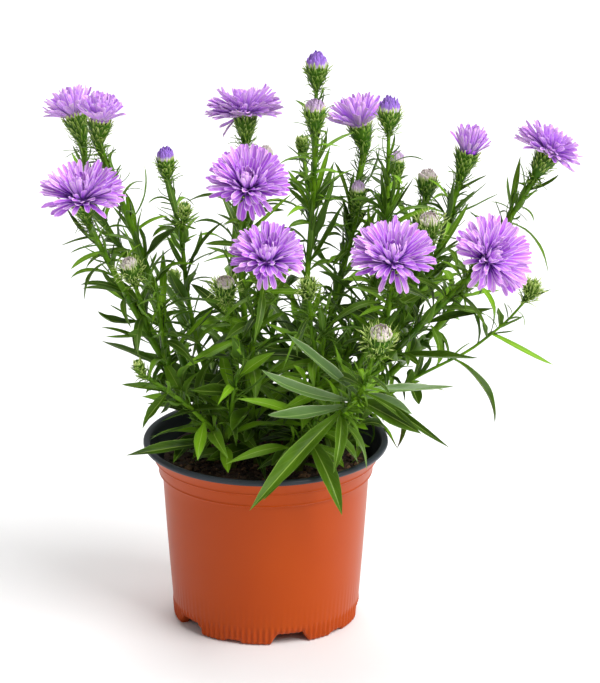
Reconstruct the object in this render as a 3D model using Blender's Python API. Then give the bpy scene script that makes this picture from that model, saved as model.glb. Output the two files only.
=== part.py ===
"""A lilac aster growing in its nursery pot.

The origin is on the standing plane, on the pot's axis. +Z is up and -Y is the front of the plant.
Places along the plant are written in millimetres as (x, y, z) and turned into metres by place().
"""

import math
import random
from dataclasses import dataclass
from enum import Enum

import bpy
from mathutils import Vector
from mathutils.bvhtree import BVHTree

MM = 0.001
GAP = 0.3 * MM
UP = Vector((0.0, 0.0, 1.0))
FRONT = Vector((0.0, -1.0, 0.0))

# The pot
RIM_RADIUS = 60.0 * MM
POT_HEIGHT = 91.3 * MM
LIP_WIDTH = 3.6 * MM
LIP_HEIGHT = 2.7 * MM
COLLAR_TOP_RADIUS = 57.2 * MM
WALL_TOP_RADIUS = 50.5 * MM
WALL_TOP = 74.8 * MM
FOOT_RADIUS = 43.8 * MM
WALL = 1.2 * MM
FLOOR_TOP = 8.0 * MM
FLOOR_UNDERSIDE = 6.8 * MM
PAD_RADIUS = 11.0 * MM
FOOT_INNER_RADIUS = 40.8 * MM
NOTCH_HEIGHT = 5.2 * MM
NOTCH_COUNT = 5
NOTCH_AT = math.radians(-74.0)
NOTCH_FLAT = 8.5
SECTOR_STEPS = (-13.0, -NOTCH_FLAT, NOTCH_FLAT, 13.0, 24.5, 36.0, 47.5)
DRAIN_RADIUS = 2.6 * MM
DRAIN_RING = 26.0 * MM
DRAIN_SIDES = 5

# The soil
SOIL_TOP = 82.0 * MM
SOIL_RELIEF = 1.5 * MM
SOIL_RINGS = (0.42, 0.8)
SOIL_SIDES = 20
STEM_DEPTH = 71.0 * MM
STEM_HOLE_SIDES = 5

# The stems, in millimetres where they are part of a route
MAIN = 1.9
STEM_FOOT = 85
STEM_SIDES = 5
BLOOM_NECK = 1.3
BUD_NECK = 0.9

# The leaves
GOLDEN_TURN = math.radians(137.5)
FIRST_LEAF_HEIGHT = 95.0 * MM
LEAF_STEP = 15.5 * MM
LEAF_TILT = (38, 62)
LEAF_BEND = (0.35, 0.95)
LEAF_TURNS = (0, 0.5, -0.5, 1.0, -1.0, 1.6, -1.6)
MARGIN = 0.8 * MM
LIGHT_LEAN = 0.5
NARROW_LEAF = 4.0
ROOT_REACH = 6.5 * MM

# How far from the pot's axis the small leaves reach, as (below this height, radius) in millimetres
SPREAD = ((115, 64), (140, 72), (165, 86))

# The bracts that stand off the buds, with sizes in millimetres
BRACTS = 4
BRISTLY_SIZE = 9
BRACT_REACH = (3.4, 4.8)
BRACT_WIDTH = 1.6
BRACT_TILT = (10, 30)

# The petals
PETAL_THICKNESS = 0.7 * MM
PETAL_WIDTH = 4.2 * MM
BUD_PETAL_WIDTH = 2.6 * MM
PETAL_BAND = 1.1 * MM
HEART_TOP = 2.0 * MM
BRUSH_REACH = 14.0 * MM
BUD_REACH = 10.0 * MM
PALE_BUDS = (
    "bud_front", "bud_right_mid", "bud_right_back", "bud_low_left", "bud_left_front", "bud_centre_back",
)


class Form(Enum):
    """What a blade is, which sets its outline."""

    LARGE = "large leaf"
    LEAF = "leaf"
    LINEAR = "linear leaf"
    SHORT = "short leaf or bract"
    PETAL = "petal"


# Each outline's rings as (share of length, share of width)
OUTLINES = {
    Form.LARGE: ((0.0, 0.3), (0.3, 0.9), (0.64, 0.9), (1.0, 0.0)),
    Form.LEAF: ((0.0, 0.4), (0.45, 1.0), (1.0, 0.0)),
    Form.LINEAR: ((0.0, 0.75), (0.45, 1.0), (1.0, 0.0)),
    Form.SHORT: ((0.0, 1.0), (1.0, 0.0)),
}

THICKNESS = {Form.LARGE: 1.5 * MM, Form.LEAF: 1.3 * MM, Form.LINEAR: 1.0 * MM, Form.SHORT: 0.9 * MM}

# Leaves near a twig's end, then by the lowest height they grow at: length and width from least to
# most in millimetres, and form
END_ZONE = 30 * MM
END_LEAF = ((9, 15), (1.6, 2.2), Form.SHORT)
LEAF_ZONES = (
    (165 * MM, ((18, 28), (2.5, 3.5), Form.LINEAR)),
    (130 * MM, ((28, 40), (4.6, 6.2), Form.LEAF)),
    (0.0, ((36, 50), (6.0, 8.0), Form.LEAF)),
)


class Kind(Enum):
    """What a head is: how far it has opened."""

    OPEN = "open bloom"
    FAN = "half-open bloom"
    BRUSH = "bloom just unfolding"
    TUFT = "bud that shows its petals"
    GREEN = "closed green bud"


@dataclass(frozen=True)
class Head:
    """A flower head at the end of a twig."""

    node: str
    kind: Kind
    facing: tuple
    size: float


@dataclass(frozen=True)
class Twig:
    """A stem or side stem: its route from the root up, and its head."""

    route: tuple
    head: Head = None
    girth: float = 1.25


@dataclass(frozen=True)
class Blade:
    """A leaf, petal or bract: where it starts, where it goes and which side is its upper one."""

    root: Vector
    along: Vector
    upper: Vector
    length: float
    width: float
    bend: float
    form: Form


@dataclass(frozen=True)
class Reach:
    """A large leaf given by its ends: the twig and height it grows from, and its tip."""

    shoot: str
    height: float
    tip: tuple
    width: float
    arch: float


# How far the tip of a large leaf may move, in millimetres, to keep it clear of other pieces
TIP_SHIFTS = (
    (0, 0, 0), (0, 0, 3), (0, 0, -3), (3, 0, 0), (-3, 0, 0), (0, 0, 6), (0, -5, 3), (0, -5, -4), (5, -3, 5),
    (-5, -3, 5), (0, -8, 0), (6, 0, -5), (-6, 0, -5), (0, 5, 6), (0, 6, 0), (8, 0, 8), (-8, 0, 8),
)

SHOOTS = {
    "shoot_left_front": (
        Twig(
            (
                (-26, -8, 85), (-38, -10, 113), (-51, -12, 139),
                (-64, -18, 166), (-77, -23, 194), (-87, -28, 223),
            ),
            Head("bloom_left_front", Kind.OPEN, (-0.12, -0.27, 0.96), 42),
            MAIN,
        ),
        Twig(
            ((-56, -14, 150), (-60, -22, 170), (-65, -30, 191)),
            Head("bud_left_front", Kind.TUFT, (-0.2, -0.3, 0.93), 9),
        ),
        Twig(((-46, -11, 128), (-50, -24, 156), (-53, -34, 188))),
    ),
    "shoot_left_back": (
        Twig(
            ((-22, 5, 85), (-40, 2, 130), (-52, -2, 165), (-61, -4, 192), (-70, -6, 218), (-79, -6, 256)),
            Head("bloom_left_back", Kind.FAN, (0.12, 0.0, 0.99), 27),
            MAIN,
        ),
        Twig(
            ((-55, -3, 174), (-70, 2, 188), (-85, 9, 212), (-92, 18, 250)),
            Head("bloom_far_left", Kind.FAN, (-0.32, 0.3, 0.9), 31),
            1.4,
        ),
    ),
    "shoot_left_mid": (
        Twig(
            ((-13, -3, 85), (-25, -2, 115), (-33, -2, 140), (-38, 1, 165), (-40, 2, 190), (-48, 8, 232)),
            Head("bud_left_tall", Kind.TUFT, (-0.05, 0.0, 1.0), 9),
            1.6,
        ),
        Twig(
            ((-40, 2, 188), (-41, -5, 200), (-39, -12, 214)),
            Head("", Kind.GREEN, (0.0, -0.1, 1.0), 8),
        ),
    ),
    "shoot_centre_back": (
        Twig(
            ((-8, 13, 85), (-15, 13, 120), (-18, 14, 148), (-16, 24, 172), (-14, 34, 198), (-10, 48, 240)),
            Head("bloom_centre_back", Kind.OPEN, (-0.05, 0.3, 0.95), 39),
            2.1,
        ),
        Twig(
            ((-14, 33, 192), (-6, 46, 205), (0, 62, 216)),
            Head("bud_centre_back", Kind.TUFT, (0.0, 0.2, 0.95), 7),
        ),
    ),
    "shoot_centre_front": (
        Twig(
            (
                (-4, -13, 85), (-8, -14, 122), (-10, -15, 160),
                (-12, -18, 189), (-10, -27, 212), (-8, -45, 235),
            ),
            Head("bloom_centre", Kind.OPEN, (0.0, -0.6, 0.8), 41),
            MAIN,
        ),
        Twig(
            ((-8, -14, 128), (-5, -28, 158), (-2, -44, 182), (1, -64, 205)),
            Head("bloom_low_centre", Kind.OPEN, (0.03, -0.5, 0.87), 37),
            1.5,
        ),
        Twig(
            ((-10, -15, 146), (-16, -30, 165), (-19, -42, 186)),
            Head("bud_low_left", Kind.TUFT, (0.0, -0.35, 0.93), 10),
        ),
    ),
    "shoot_top": (
        Twig(
            (
                (10, 4, 85), (14, 3, 118), (18, 4, 146), (21, 9, 180),
                (23, 15, 209), (24, 22, 238), (25, 30, 272),
            ),
            Head("bud_top", Kind.TUFT, (0.02, 0.0, 1.0), 11),
            MAIN,
        ),
        Twig(
            ((23, 14, 205), (24, 5, 228), (24, -4, 261)),
            Head("bud_top_front", Kind.TUFT, (0.0, -0.05, 1.0), 11),
        ),
        Twig(
            ((22, 13, 200), (20, 30, 214), (18, 43, 230)),
            Head("", Kind.GREEN, (-0.1, 0.2, 0.97), 8),
        ),
    ),
    "shoot_back_right": (
        Twig(
            ((16, 14, 85), (23, 13, 118), (31, 14, 146), (39, 22, 176), (44, 32, 205), (46, 44, 237)),
            Head("bloom_back_right", Kind.FAN, (-0.22, 0.15, 0.96), 34),
            MAIN,
        ),
        Twig(
            ((40, 23, 178), (44, 17, 198), (45, 14, 214)),
            Head("bud_mid_right", Kind.TUFT, (0.0, -0.05, 1.0), 7),
        ),
    ),
    "shoot_right_centre": (
        Twig(
            ((20, 1, 85), (30, -1, 112), (41, -3, 138), (54, 0, 168), (59, 4, 206), (60, 10, 256)),
            Head("bud_right_tall", Kind.TUFT, (0.04, 0.0, 1.0), 11),
            MAIN,
        ),
        Twig(
            ((59, 3, 200), (62, 14, 214), (64, 23, 226)),
            Head("bud_right_small", Kind.TUFT, (0.05, 0.1, 1.0), 7),
        ),
    ),
    "shoot_right_front": (
        Twig(
            ((14, -11, 85), (34, -15, 118), (57, -24, 156), (61, -38, 180), (61, -57, 202)),
            Head("bloom_right_front", Kind.OPEN, (0.0, -0.5, 0.87), 42),
            MAIN,
        ),
        Twig(((18, -12, 92), (24, -22, 122), (28, -32, 150), (30, -38, 178))),
        Twig(
            ((26, -28, 138), (22, -34, 162), (21, -48, 188)),
            Head("", Kind.GREEN, (0.0, -0.35, 0.93), 9),
        ),
    ),
    "shoot_right_mid": (
        Twig(
            ((26, -8, 85), (48, -13, 124), (68, -19, 149), (83, -25, 168), (96, -36, 185), (106, -50, 201)),
            Head("bloom_right", Kind.OPEN, (0.4, -0.72, 0.56), 42),
            MAIN,
        ),
        Twig(
            ((60, -16, 139), (70, -13, 165), (77, -11, 190), (79, -15, 208)),
            Head("bud_right_mid", Kind.TUFT, (0.05, -0.2, 0.97), 11),
        ),
    ),
    "shoot_right_back": (
        Twig(
            (
                (22, 9, 85), (38, 7, 112), (53, 5, 134), (73, 7, 158),
                (83, 10, 182), (90, 13, 204), (98, 16, 233),
            ),
            Head("bloom_right_back", Kind.BRUSH, (0.25, 0.0, 0.97), 22),
            MAIN,
        ),
        Twig(
            ((66, 6, 150), (70, 18, 174), (74, 27, 197), (79, 34, 213)),
            Head("bud_right_back", Kind.TUFT, (0.05, 0.1, 1.0), 10),
        ),
    ),
    "shoot_far_right": (
        Twig(
            (
                (30, 3, 85), (56, 4, 118), (82, 6, 144), (100, 9, 168),
                (114, 10, 194), (126, 10, 214), (136, 8, 234),
            ),
            Head("bloom_far_right", Kind.OPEN, (0.5, 0.25, 0.83), 38),
            MAIN,
        ),
    ),
    "shoot_low_right": (
        Twig(
            ((34, -6, 85), (52, -10, 112), (74, -12, 128), (99, -12, 141), (117, -12, 156), (129, -14, 175)),
            Head("", Kind.GREEN, (0.3, -0.1, 0.95), 9),
            1.5,
        ),
    ),
    "shoot_front": (
        Twig(
            ((16, -24, 85), (24, -36, 106), (36, -52, 124), (46, -64, 138), (52, -76, 162), (55, -84, 175)),
            Head("bud_front", Kind.TUFT, (0.1, -0.3, 0.95), 12),
            MAIN,
        ),
    ),
    "shoot_low_front": (
        Twig(((4, -26, 85), (12, -33, 98), (22, -36, 108), (28, -40, 126)), None, 1.6),
    ),
    "shoot_low_left": (
        Twig(
            ((-15, -18, 85), (-24, -26, 104), (-36, -34, 120), (-52, -34, 132), (-61, -34, 142)),
            Head("", Kind.GREEN, (-0.3, -0.1, 0.95), 6),
            1.4,
        ),
        Twig(((-20, -22, 96), (-16, -32, 120), (-12, -38, 148))),
    ),
    "shoot_back_left": (
        Twig(
            ((-18, 22, 85), (-28, 36, 112), (-40, 52, 138), (-46, 62, 154)),
            Head("", Kind.GREEN, (-0.2, 0.4, 0.9), 8),
            1.6,
        ),
        Twig(((-22, 27, 95), (-38, 28, 122), (-56, 32, 144))),
    ),
    "shoot_back": (
        Twig(
            ((2, 28, 85), (2, 44, 112), (4, 60, 136), (6, 72, 150)),
            Head("", Kind.GREEN, (0.0, 0.5, 0.87), 8),
            1.6,
        ),
    ),
    "shoot_back_low_right": (
        Twig(
            ((20, 26, 85), (32, 40, 112), (46, 52, 136), (54, 60, 152)),
            Head("", Kind.GREEN, (0.3, 0.4, 0.87), 8),
            1.6,
        ),
        Twig(((24, 30, 93), (46, 30, 116), (66, 34, 138))),
    ),
}

LARGE_LEAVES = (
    Reach("shoot_front", 137, (8, -72, 168), 8.0, 0.35),
    Reach("shoot_front", 133, (-3, -84, 154), 8.0, -0.45),
    Reach("shoot_front", 130, (-1, -92, 140), 8.5, -0.6),
    Reach("shoot_front", 127, (-10, -86, 90), 9.0, 0.5),
    Reach("shoot_front", 135, (72, -88, 124), 8.5, 0.6),
    Reach("shoot_front", 138, (70, -60, 126), 9.0, 0.5),
    Reach("shoot_front", 141, (90, -54, 135), 6.5, 0.3),
    Reach("shoot_front", 140, (77, -88, 109), 4.0, 0.7),
    Reach("shoot_front", 124, (34, -86, 106), 6.0, 1.4),
    Reach("shoot_low_front", 106, (35, -71, 78), 8.5, 1.1),
    Reach("shoot_low_front", 101, (2, -69, 84), 7.5, 1.0),
    Reach("shoot_low_front", 96, (2, -55, 97), 6.0, 0.7),
    Reach("shoot_right_mid", 140, (102, -33, 142), 6.0, 0.5),
    Reach("shoot_low_right", 137, (114, -26, 108), 5.0, 1.3),
    Reach("shoot_right_mid", 158, (110, -30, 166), 4.5, 0.6),
    Reach("shoot_low_right", 150, (138, -18, 133), 3.5, 0.3),
    Reach("shoot_low_right", 125, (75, -24, 117), 6.5, 0.6),
    Reach("shoot_left_front", 158, (-82, -24, 165), 4.5, -0.9),
    Reach("shoot_left_front", 150, (-77, -20, 149), 2.5, 0.4),
    Reach("shoot_low_left", 128, (-58, -40, 114), 5.0, 0.5),
    Reach("shoot_low_left", 130, (-69, -40, 132), 4.0, 0.5),
    Reach("shoot_centre_front", 118, (-38, -52, 132), 7.0, 0.6),
    Reach("shoot_centre_front", 112, (-17, -52, 113), 8.5, 0.6),
    Reach("shoot_low_left", 98, (-67, -46, 98), 6.0, 0.5),
    Reach("shoot_left_front", 98, (-44, -42, 93), 7.0, 0.6),
    Reach("shoot_centre_front", 132, (-13, -48, 158), 7.5, 0.3),
    Reach("shoot_back_left", 100, (-66, 58, 112), 7.0, 0.8),
    Reach("shoot_back_left", 96, (-30, 74, 104), 7.5, 0.9),
    Reach("shoot_back", 100, (-10, 86, 108), 7.5, 0.8),
    Reach("shoot_back", 104, (26, 84, 112), 7.0, 0.8),
    Reach("shoot_back_low_right", 98, (64, 66, 106), 7.5, 0.9),
    Reach("shoot_back_low_right", 104, (74, 46, 118), 6.5, 0.8),
    Reach("shoot_low_right", 148, (104, -20, 160), 4.0, 0.3),
    Reach("shoot_low_right", 157, (115, -18, 169), 2.5, 0.3),
    Reach("shoot_low_right", 166, (138, -16, 174), 2.2, 0.3),
    Reach("shoot_low_right", 127, (76, -14, 141), 3.5, 0.2),
    Reach("shoot_low_right", 123, (88, -22, 125), 2.5, 0.5),
    Reach("shoot_centre_front", 92, (-36, -34, 88), 7.0, 0.4),
    Reach("shoot_low_left", 104, (-35, -40, 95), 6.0, 0.5),
    Reach("shoot_low_left", 110, (-55, -38, 104), 2.5, 0.8),
    Reach("shoot_centre_front", 102, (-10, -50, 105), 5.0, 0.3),
    Reach("shoot_centre_front", 198, (-29, -24, 201), 3.0, 0.8),
    Reach("shoot_left_front", 196, (-94, -32, 192), 3.0, 0.3),
    Reach("shoot_left_front", 204, (-98, -30, 201), 2.5, 0.5),
    Reach("shoot_left_front", 174, (-89, -20, 181), 3.0, 0.8),
    Reach("shoot_left_front", 168, (-80, -14, 184), 3.0, -0.8),
    Reach("shoot_left_back", 185, (-42, -14, 205), 6.0, 0.5),
    Reach("shoot_left_back", 199, (-47, -12, 213), 3.5, 0.35),
    Reach("shoot_left_back", 172, (-42, -10, 186), 2.5, 0.1),
    Reach("shoot_left_mid", 178, (-48, -8, 196), 3.0, 0.9),
    Reach("shoot_left_mid", 172, (-23, -6, 210), 2.5, 0.5),
    Reach("shoot_left_mid", 169, (-25, -10, 178), 2.5, 1.2),
    Reach("shoot_left_mid", 160, (-47, -16, 181), 6.0, 0.2),
    Reach("shoot_top", 188, (30, 2, 214), 5.5, 0.2),
    Reach("shoot_top", 178, (36, 0, 216), 4.5, 0.3),
    Reach("shoot_top", 206, (44, 6, 228), 3.0, 0.9),
    Reach("shoot_top", 203, (11, 10, 225), 3.5, 0.2),
    Reach("shoot_top", 198, (11, 6, 199), 3.0, 0.9),
    Reach("shoot_back_right", 194, (35, 22, 229), 3.0, 0.2),
    Reach("shoot_right_centre", 198, (56, -3, 232), 4.0, 0.1),
    Reach("shoot_right_centre", 196, (83, -4, 212), 3.5, 0.9),
    Reach("shoot_right_centre", 203, (74, -2, 225), 2.5, 0.5),
    Reach("shoot_right_back", 186, (89, 4, 227), 4.5, 0.5),
    Reach("shoot_right_back", 183, (99, 8, 210), 3.2, 0.25),
    Reach("shoot_right_back", 200, (83, 4, 225), 3.0, 1.1),
    Reach("shoot_right_back", 213, (108, 12, 222), 2.5, 0.5),
    Reach("shoot_far_right", 203, (115, 4, 225), 3.0, 0.2),
    Reach("shoot_far_right", 213, (125, 4, 233), 2.5, 0.1),
    Reach("shoot_far_right", 216, (142, 2, 225), 2.5, -0.3),
)

# The green cup below each kind of head: its radius and length in millimetres
HEAD_CUPS = {
    Kind.OPEN: (5.4, 10.0),
    Kind.FAN: (5.4, 11.0),
    Kind.BRUSH: (5.4, 11.0),
    Kind.TUFT: (4.8, 8.5),
    Kind.GREEN: (3.6, 6.0),
}

# The rings of a cup as (share of its radius, share of its length), with the last ring of a closed bud
CUP_RINGS = ((0.66, 0.45), (1.1, 0.88), (0.9, 1.0))
BUD_TOP = (0.0, 1.5)

# For each kind of head: the petals round it, then for each layer its lift in degrees, foot height,
# radius at its foot, share of the full reach, bend, and whether every second petal is left out
PETAL_LAYERS = {
    Kind.OPEN: (
        10,
        ((2, 0.3, 4.4, 1.0, 0.25, False), (30, 1.6, 3.8, 0.82, 0.3, False), (60, 2.8, 2.4, 0.5, -0.4, True)),
    ),
    Kind.FAN: (9, ((30, 0.4, 4.4, 1.0, 0.3, False), (62, 2.2, 3.2, 0.85, 0.1, True))),
    Kind.BRUSH: (8, ((72, 0.6, 4.4, 0.75, 0.0, False), (84, 2.4, 2.6, 0.7, 0.0, True))),
    Kind.TUFT: (6, ((78, 0.4, 3.6, 0.75, -0.3, False),)),
}


def place(point):
    """A point in metres from (x, y, z) in millimetres."""
    return Vector(point) * MM


def across(direction):
    """A unit vector square to a direction, and level where it can be."""
    side = direction.cross(Vector((0.0, 0.0, 1.0)))
    if side.length < 0.05:
        side = direction.cross(Vector((0.0, 1.0, 0.0)))
    return side.normalized()


def circle(centre, side, other, radius, count, phase=0.0):
    """Points evenly round a circle in the plane of two directions."""
    angles = [2 * math.pi * (k + phase) / count for k in range(count)]
    return [centre + (side * math.cos(a) + other * math.sin(a)) * radius for a in angles]


class Shell:
    """A closed surface put together ring by ring, with its faces pointing out."""

    def __init__(self):
        self.vertices = []
        self.faces = []

    def ring(self, points):
        """Add a ring of points and return their numbers."""
        start = len(self.vertices)
        self.vertices += points
        return list(range(start, len(self.vertices)))

    def cap(self, ring, at_root=False):
        """Close a ring with one flat face."""
        if len(ring) > 2:
            self.faces.append(tuple(reversed(ring)) if at_root else tuple(ring))

    def bridge(self, lower, upper, other_way=(), flat=False):
        """Join a ring to the next one, or to a one-point tip.

        Flat sides stay whole. Others are split into two triangles, those in other_way along the
        other diagonal.
        """
        count = len(lower)
        for k in range(count):
            m = (k + 1) % count
            if len(upper) == 1:
                self.faces.append((lower[k], lower[m], upper[0]))
            elif flat:
                self.faces.append((lower[k], lower[m], upper[m], upper[k]))
            elif k in other_way:
                self.faces.append((lower[k], lower[m], upper[k]))
                self.faces.append((lower[m], upper[m], upper[k]))
            else:
                self.faces.append((lower[k], lower[m], upper[m]))
                self.faces.append((lower[k], upper[m], upper[k]))

    def loft(self, rings, flat=False):
        """Join rings of points from the first to the last and close both ends."""
        numbered = [self.ring(points) for points in rings]
        self.cap(numbered[0], at_root=True)
        for lower, upper in zip(numbered, numbered[1:]):
            self.bridge(lower, upper, flat=flat)
        self.cap(numbered[-1])
        return self

    def bounds(self):
        """The lowest and highest corner."""
        low = [min(v[i] for v in self.vertices) for i in range(3)]
        high = [max(v[i] for v in self.vertices) for i in range(3)]
        return low, high

    def tree(self):
        """The faces in a form that can be tested for overlap."""
        return BVHTree.FromPolygons(self.vertices, self.faces)


def turned(centre, axis, profile, sides):
    """A closed solid turned about an axis through profile points (radius, height); radius 0 is a tip."""
    side = across(axis)
    other = axis.cross(side)
    rings = []
    for radius, height in profile:
        middle = centre + axis * height
        rings.append(circle(middle, side, other, radius, sides) if radius else [middle])
    return Shell().loft(rings)


def rod(points, radii, sides):
    """A closed round rod along a route; a radius of 0 is a tip."""
    rings = []
    side = across(points[1] - points[0])
    last = len(points) - 1
    for index, point in enumerate(points):
        ahead = (points[min(index + 1, last)] - points[max(index - 1, 0)]).normalized()
        side = (side - ahead * side.dot(ahead)).normalized()
        rings.append(circle(point, side, ahead.cross(side), radii[index], sides) if radii[index] else [point])
    return Shell().loft(rings)


def blade_frame(blade, share):
    """The middle of a blade and the direction its upper face looks, at a share of its length."""
    angle = blade.bend * share
    if abs(blade.bend) < 0.01:
        forward, drop = blade.length * share, 0.0
    else:
        radius = blade.length / blade.bend
        forward, drop = radius * math.sin(angle), radius * (1 - math.cos(angle))
    middle = blade.root + blade.along * forward - blade.upper * drop
    return middle, blade.upper * math.cos(angle) + blade.along * math.sin(angle)


def leaf_shell(blade, margin=0.0):
    """A leaf or bract as a closed keeled strap."""
    side = blade.upper.cross(blade.along)
    rings = []
    for share, breadth in OUTLINES[blade.form]:
        middle, face = blade_frame(blade, share)
        if breadth == 0.0:
            rings.append([middle + blade.along * margin])
            continue
        half = side * (blade.width * breadth + margin) / 2
        keel = middle - face * (THICKNESS[blade.form] * breadth + margin / 2)
        top = middle + face * margin / 2
        rings.append([keel, top + half, top - half])
    return Shell().loft(rings, flat=True)


class Plant:
    """Collects the shells of each node, and tells whether a new one would touch what is there."""

    def __init__(self):
        self.shells = {}
        self.obstacles = []

    def stand_clear_of(self, node, shell):
        """Note a shell as something that other nodes keep clear of."""
        self.obstacles.append((node, *shell.bounds(), shell.tree()))

    def add(self, node, shell):
        """Keep a shell as part of a node."""
        self.shells.setdefault(node, []).append(shell)
        self.stand_clear_of(node, shell)

    def meets(self, shell, node, own):
        """Whether a shell meets its own node, or any other node."""
        low, high = shell.bounds()
        near = [o for o in self.obstacles if (o[0] == node) == own]
        near = [o for o in near if all(low[i] <= o[2][i] and high[i] >= o[1][i] for i in range(3))]
        if not near:
            return False
        tested = shell.tree()
        return any(tested.overlap(other[3]) for other in near)

    def try_leaf(self, node, blade):
        """Add a blade to a node if it keeps clear of the other nodes and of its own node's leaves."""
        if self.meets(leaf_shell(blade, MARGIN), node, own=False):
            return False
        if blade.form is not Form.SHORT:
            near = 0.3 if blade.form is Form.LARGE else min(0.5, ROOT_REACH / blade.length)
            start, face = blade_frame(blade, near)
            ahead = blade_frame(blade, near + 0.01)[0] - start
            rest = 1.0 - near
            outer = Blade(start, ahead.normalized(), face, blade.length * rest, blade.width,
                          blade.bend * rest, blade.form)
            if self.meets(leaf_shell(outer), node, own=True):
                return False
        self.add(node, leaf_shell(blade))
        return True


def is_bud(head):
    """Whether a head is still a bud."""
    return head.kind in (Kind.TUFT, Kind.GREEN)


def scale_of(head):
    """How large a bud is beside one that is 10 mm wide; blooms keep their cups whole."""
    return head.size / 10 if is_bud(head) else 1.0


def cup_of(head):
    """The radius and length of a head's green cup."""
    radius, length = HEAD_CUPS[head.kind]
    return radius * scale_of(head) * MM, length * MM


def cup_base(twig):
    """Where a twig's stem ends and the green cup of its head starts."""
    return place(twig.route[-1]) - Vector(twig.head.facing).normalized() * cup_of(twig.head)[1]


def twig_line(twig):
    """The line of a twig from its root to the foot of its head."""
    points = [place(p) for p in twig.route]
    if twig.head:
        points[-1] = cup_base(twig)
    return points


def stem_shell(twig):
    """A twig's stem, which swells into the green cup of its head or ends in a point."""
    line = twig_line(twig)
    last = len(line) - 1
    neck = BUD_NECK if twig.head is None or is_bud(twig.head) else BLOOM_NECK
    neck = min(neck, twig.girth)
    radii = [(twig.girth + (neck - twig.girth) * i / last) * MM for i in range(last + 1)]
    if twig.head:
        facing = Vector(twig.head.facing).normalized()
        radius, length = cup_of(twig.head)
        rings = (*CUP_RINGS[:2], BUD_TOP) if twig.head.kind is Kind.GREEN else CUP_RINGS
        for breadth, height in rings:
            line.append(cup_base(twig) + facing * length * height)
            radii.append(radius * breadth)
    else:
        radii[-1] = 0.0
    if stands_in_soil(twig):
        line.insert(0, Vector((line[0].x, line[0].y, STEM_DEPTH)))
        radii.insert(0, radii[0])
    return rod(line, radii, STEM_SIDES)


def stands_in_soil(twig):
    """Whether a twig is a main stem, whose foot is in the soil."""
    return twig.route[0][2] == STEM_FOOT


def petal_reach(head):
    """How far a head's longest petals reach from its middle."""
    if head.kind is Kind.TUFT:
        return BUD_REACH * scale_of(head)
    return BRUSH_REACH if head.kind is Kind.BRUSH else head.size / 2 * MM


def flower_shell(head, seat):
    """A head's coloured part as one closed solid: a heart with its petals drawn out of it in layers."""
    facing = Vector(head.facing).normalized()
    side = across(facing)
    other = facing.cross(side)
    count, layers = PETAL_LAYERS[head.kind]
    scale = scale_of(head)
    width = BUD_PETAL_WIDTH * scale if is_bud(head) else PETAL_WIDTH
    shell = Shell()
    previous = None
    for layer, (lift, height, foot, share, bend, alternate) in enumerate(layers):
        phase = 0.5 * layer
        foot_radius = foot * scale * MM
        base = seat + facing * (GAP + height * scale * MM)
        top = base + facing * PETAL_BAND
        lower = shell.ring(circle(base, side, other, foot_radius, count, phase))
        upper = shell.ring(circle(top, side, other, foot_radius * 0.94, count, phase))
        if previous:
            shell.bridge(previous, lower, other_way=range(count))
        else:
            shell.cap(lower, at_root=True)
        for k in range(count):
            m = (k + 1) % count
            face = [lower[k], lower[m], upper[m], upper[k]]
            if alternate and k % 2:
                shell.faces.append(tuple(face))
                continue
            angle = 2 * math.pi * (k + phase + 0.5) / count
            outward = side * math.cos(angle) + other * math.sin(angle)
            tilt = math.radians(lift + 4 * math.sin(7.1 * k + 3 * layer))
            along = outward * math.cos(tilt) + facing * math.sin(tilt)
            above = facing * math.cos(tilt) - outward * math.sin(tilt)
            length = (petal_reach(head) * share - foot_radius) * (1 + 0.06 * math.sin(5.3 * k + 2 * layer))
            root = (base + top) / 2 + outward * foot_radius * 0.9
            add_petal(shell, face, Blade(root, along, above, length, width, bend, Form.PETAL))
        previous = upper
    shell.bridge(previous, shell.ring([base + facing * HEART_TOP]))
    return shell


def add_petal(shell, face, blade):
    """Draw a petal out of one face of a shell: it widens, then ends in a blunt thin edge."""
    sideways = blade.along.cross(blade.upper)
    middle, upward = blade_frame(blade, 0.66)
    half = sideways * blade.width / 2
    thick = upward * PETAL_THICKNESS / 2
    if (shell.vertices[face[1]] - shell.vertices[face[0]]).dot(half) > 0:
        half = -half
    corners = ((half, -thick), (-half, -thick), (-half, thick), (half, thick))
    wide = shell.ring([middle + breadth + height for breadth, height in corners])
    end = blade_frame(blade, 1.0)[0]
    tip = shell.ring([end + half * 0.5, end - half * 0.5])
    shell.bridge(face, wide, (2,))
    a, b, c, d = wide
    left, right = tip
    shell.faces += [(a, b, right), (a, right, left), (b, c, right)]
    shell.faces += [(c, d, right), (d, left, right), (d, a, left)]


def add_bracts(plant, node, twig, draw):
    """Add the pointed bracts that stand off a head's green cup."""
    facing = Vector(twig.head.facing).normalized()
    radius, length = cup_of(twig.head)
    side = across(facing)
    other = facing.cross(side)
    for k in range(BRACTS):
        angle = 2 * math.pi * k / BRACTS + draw.uniform(-0.2, 0.2)
        outward = side * math.cos(angle) + other * math.sin(angle)
        tilt = math.radians(draw.uniform(*BRACT_TILT))
        along = outward * math.cos(tilt) + facing * math.sin(tilt)
        upper = facing * math.cos(tilt) - outward * math.sin(tilt)
        inset = radius * 0.45
        root = cup_base(twig) + facing * length * draw.uniform(0.45, 0.75) + outward * inset
        reach = inset + draw.uniform(*BRACT_REACH) * MM
        plant.try_leaf(node, Blade(root, along, upper, reach, BRACT_WIDTH * MM, 0.0, Form.SHORT))


def leaf_size(height, from_tip, draw):
    """The length, width and form of a leaf, from its height and how far below the twig's end it grows."""
    zone = END_LEAF if from_tip < END_ZONE else next(kind for low, kind in LEAF_ZONES if height > low)
    lengths, widths, form = zone
    return draw.uniform(*lengths) * MM, draw.uniform(*widths) * MM, form


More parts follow.
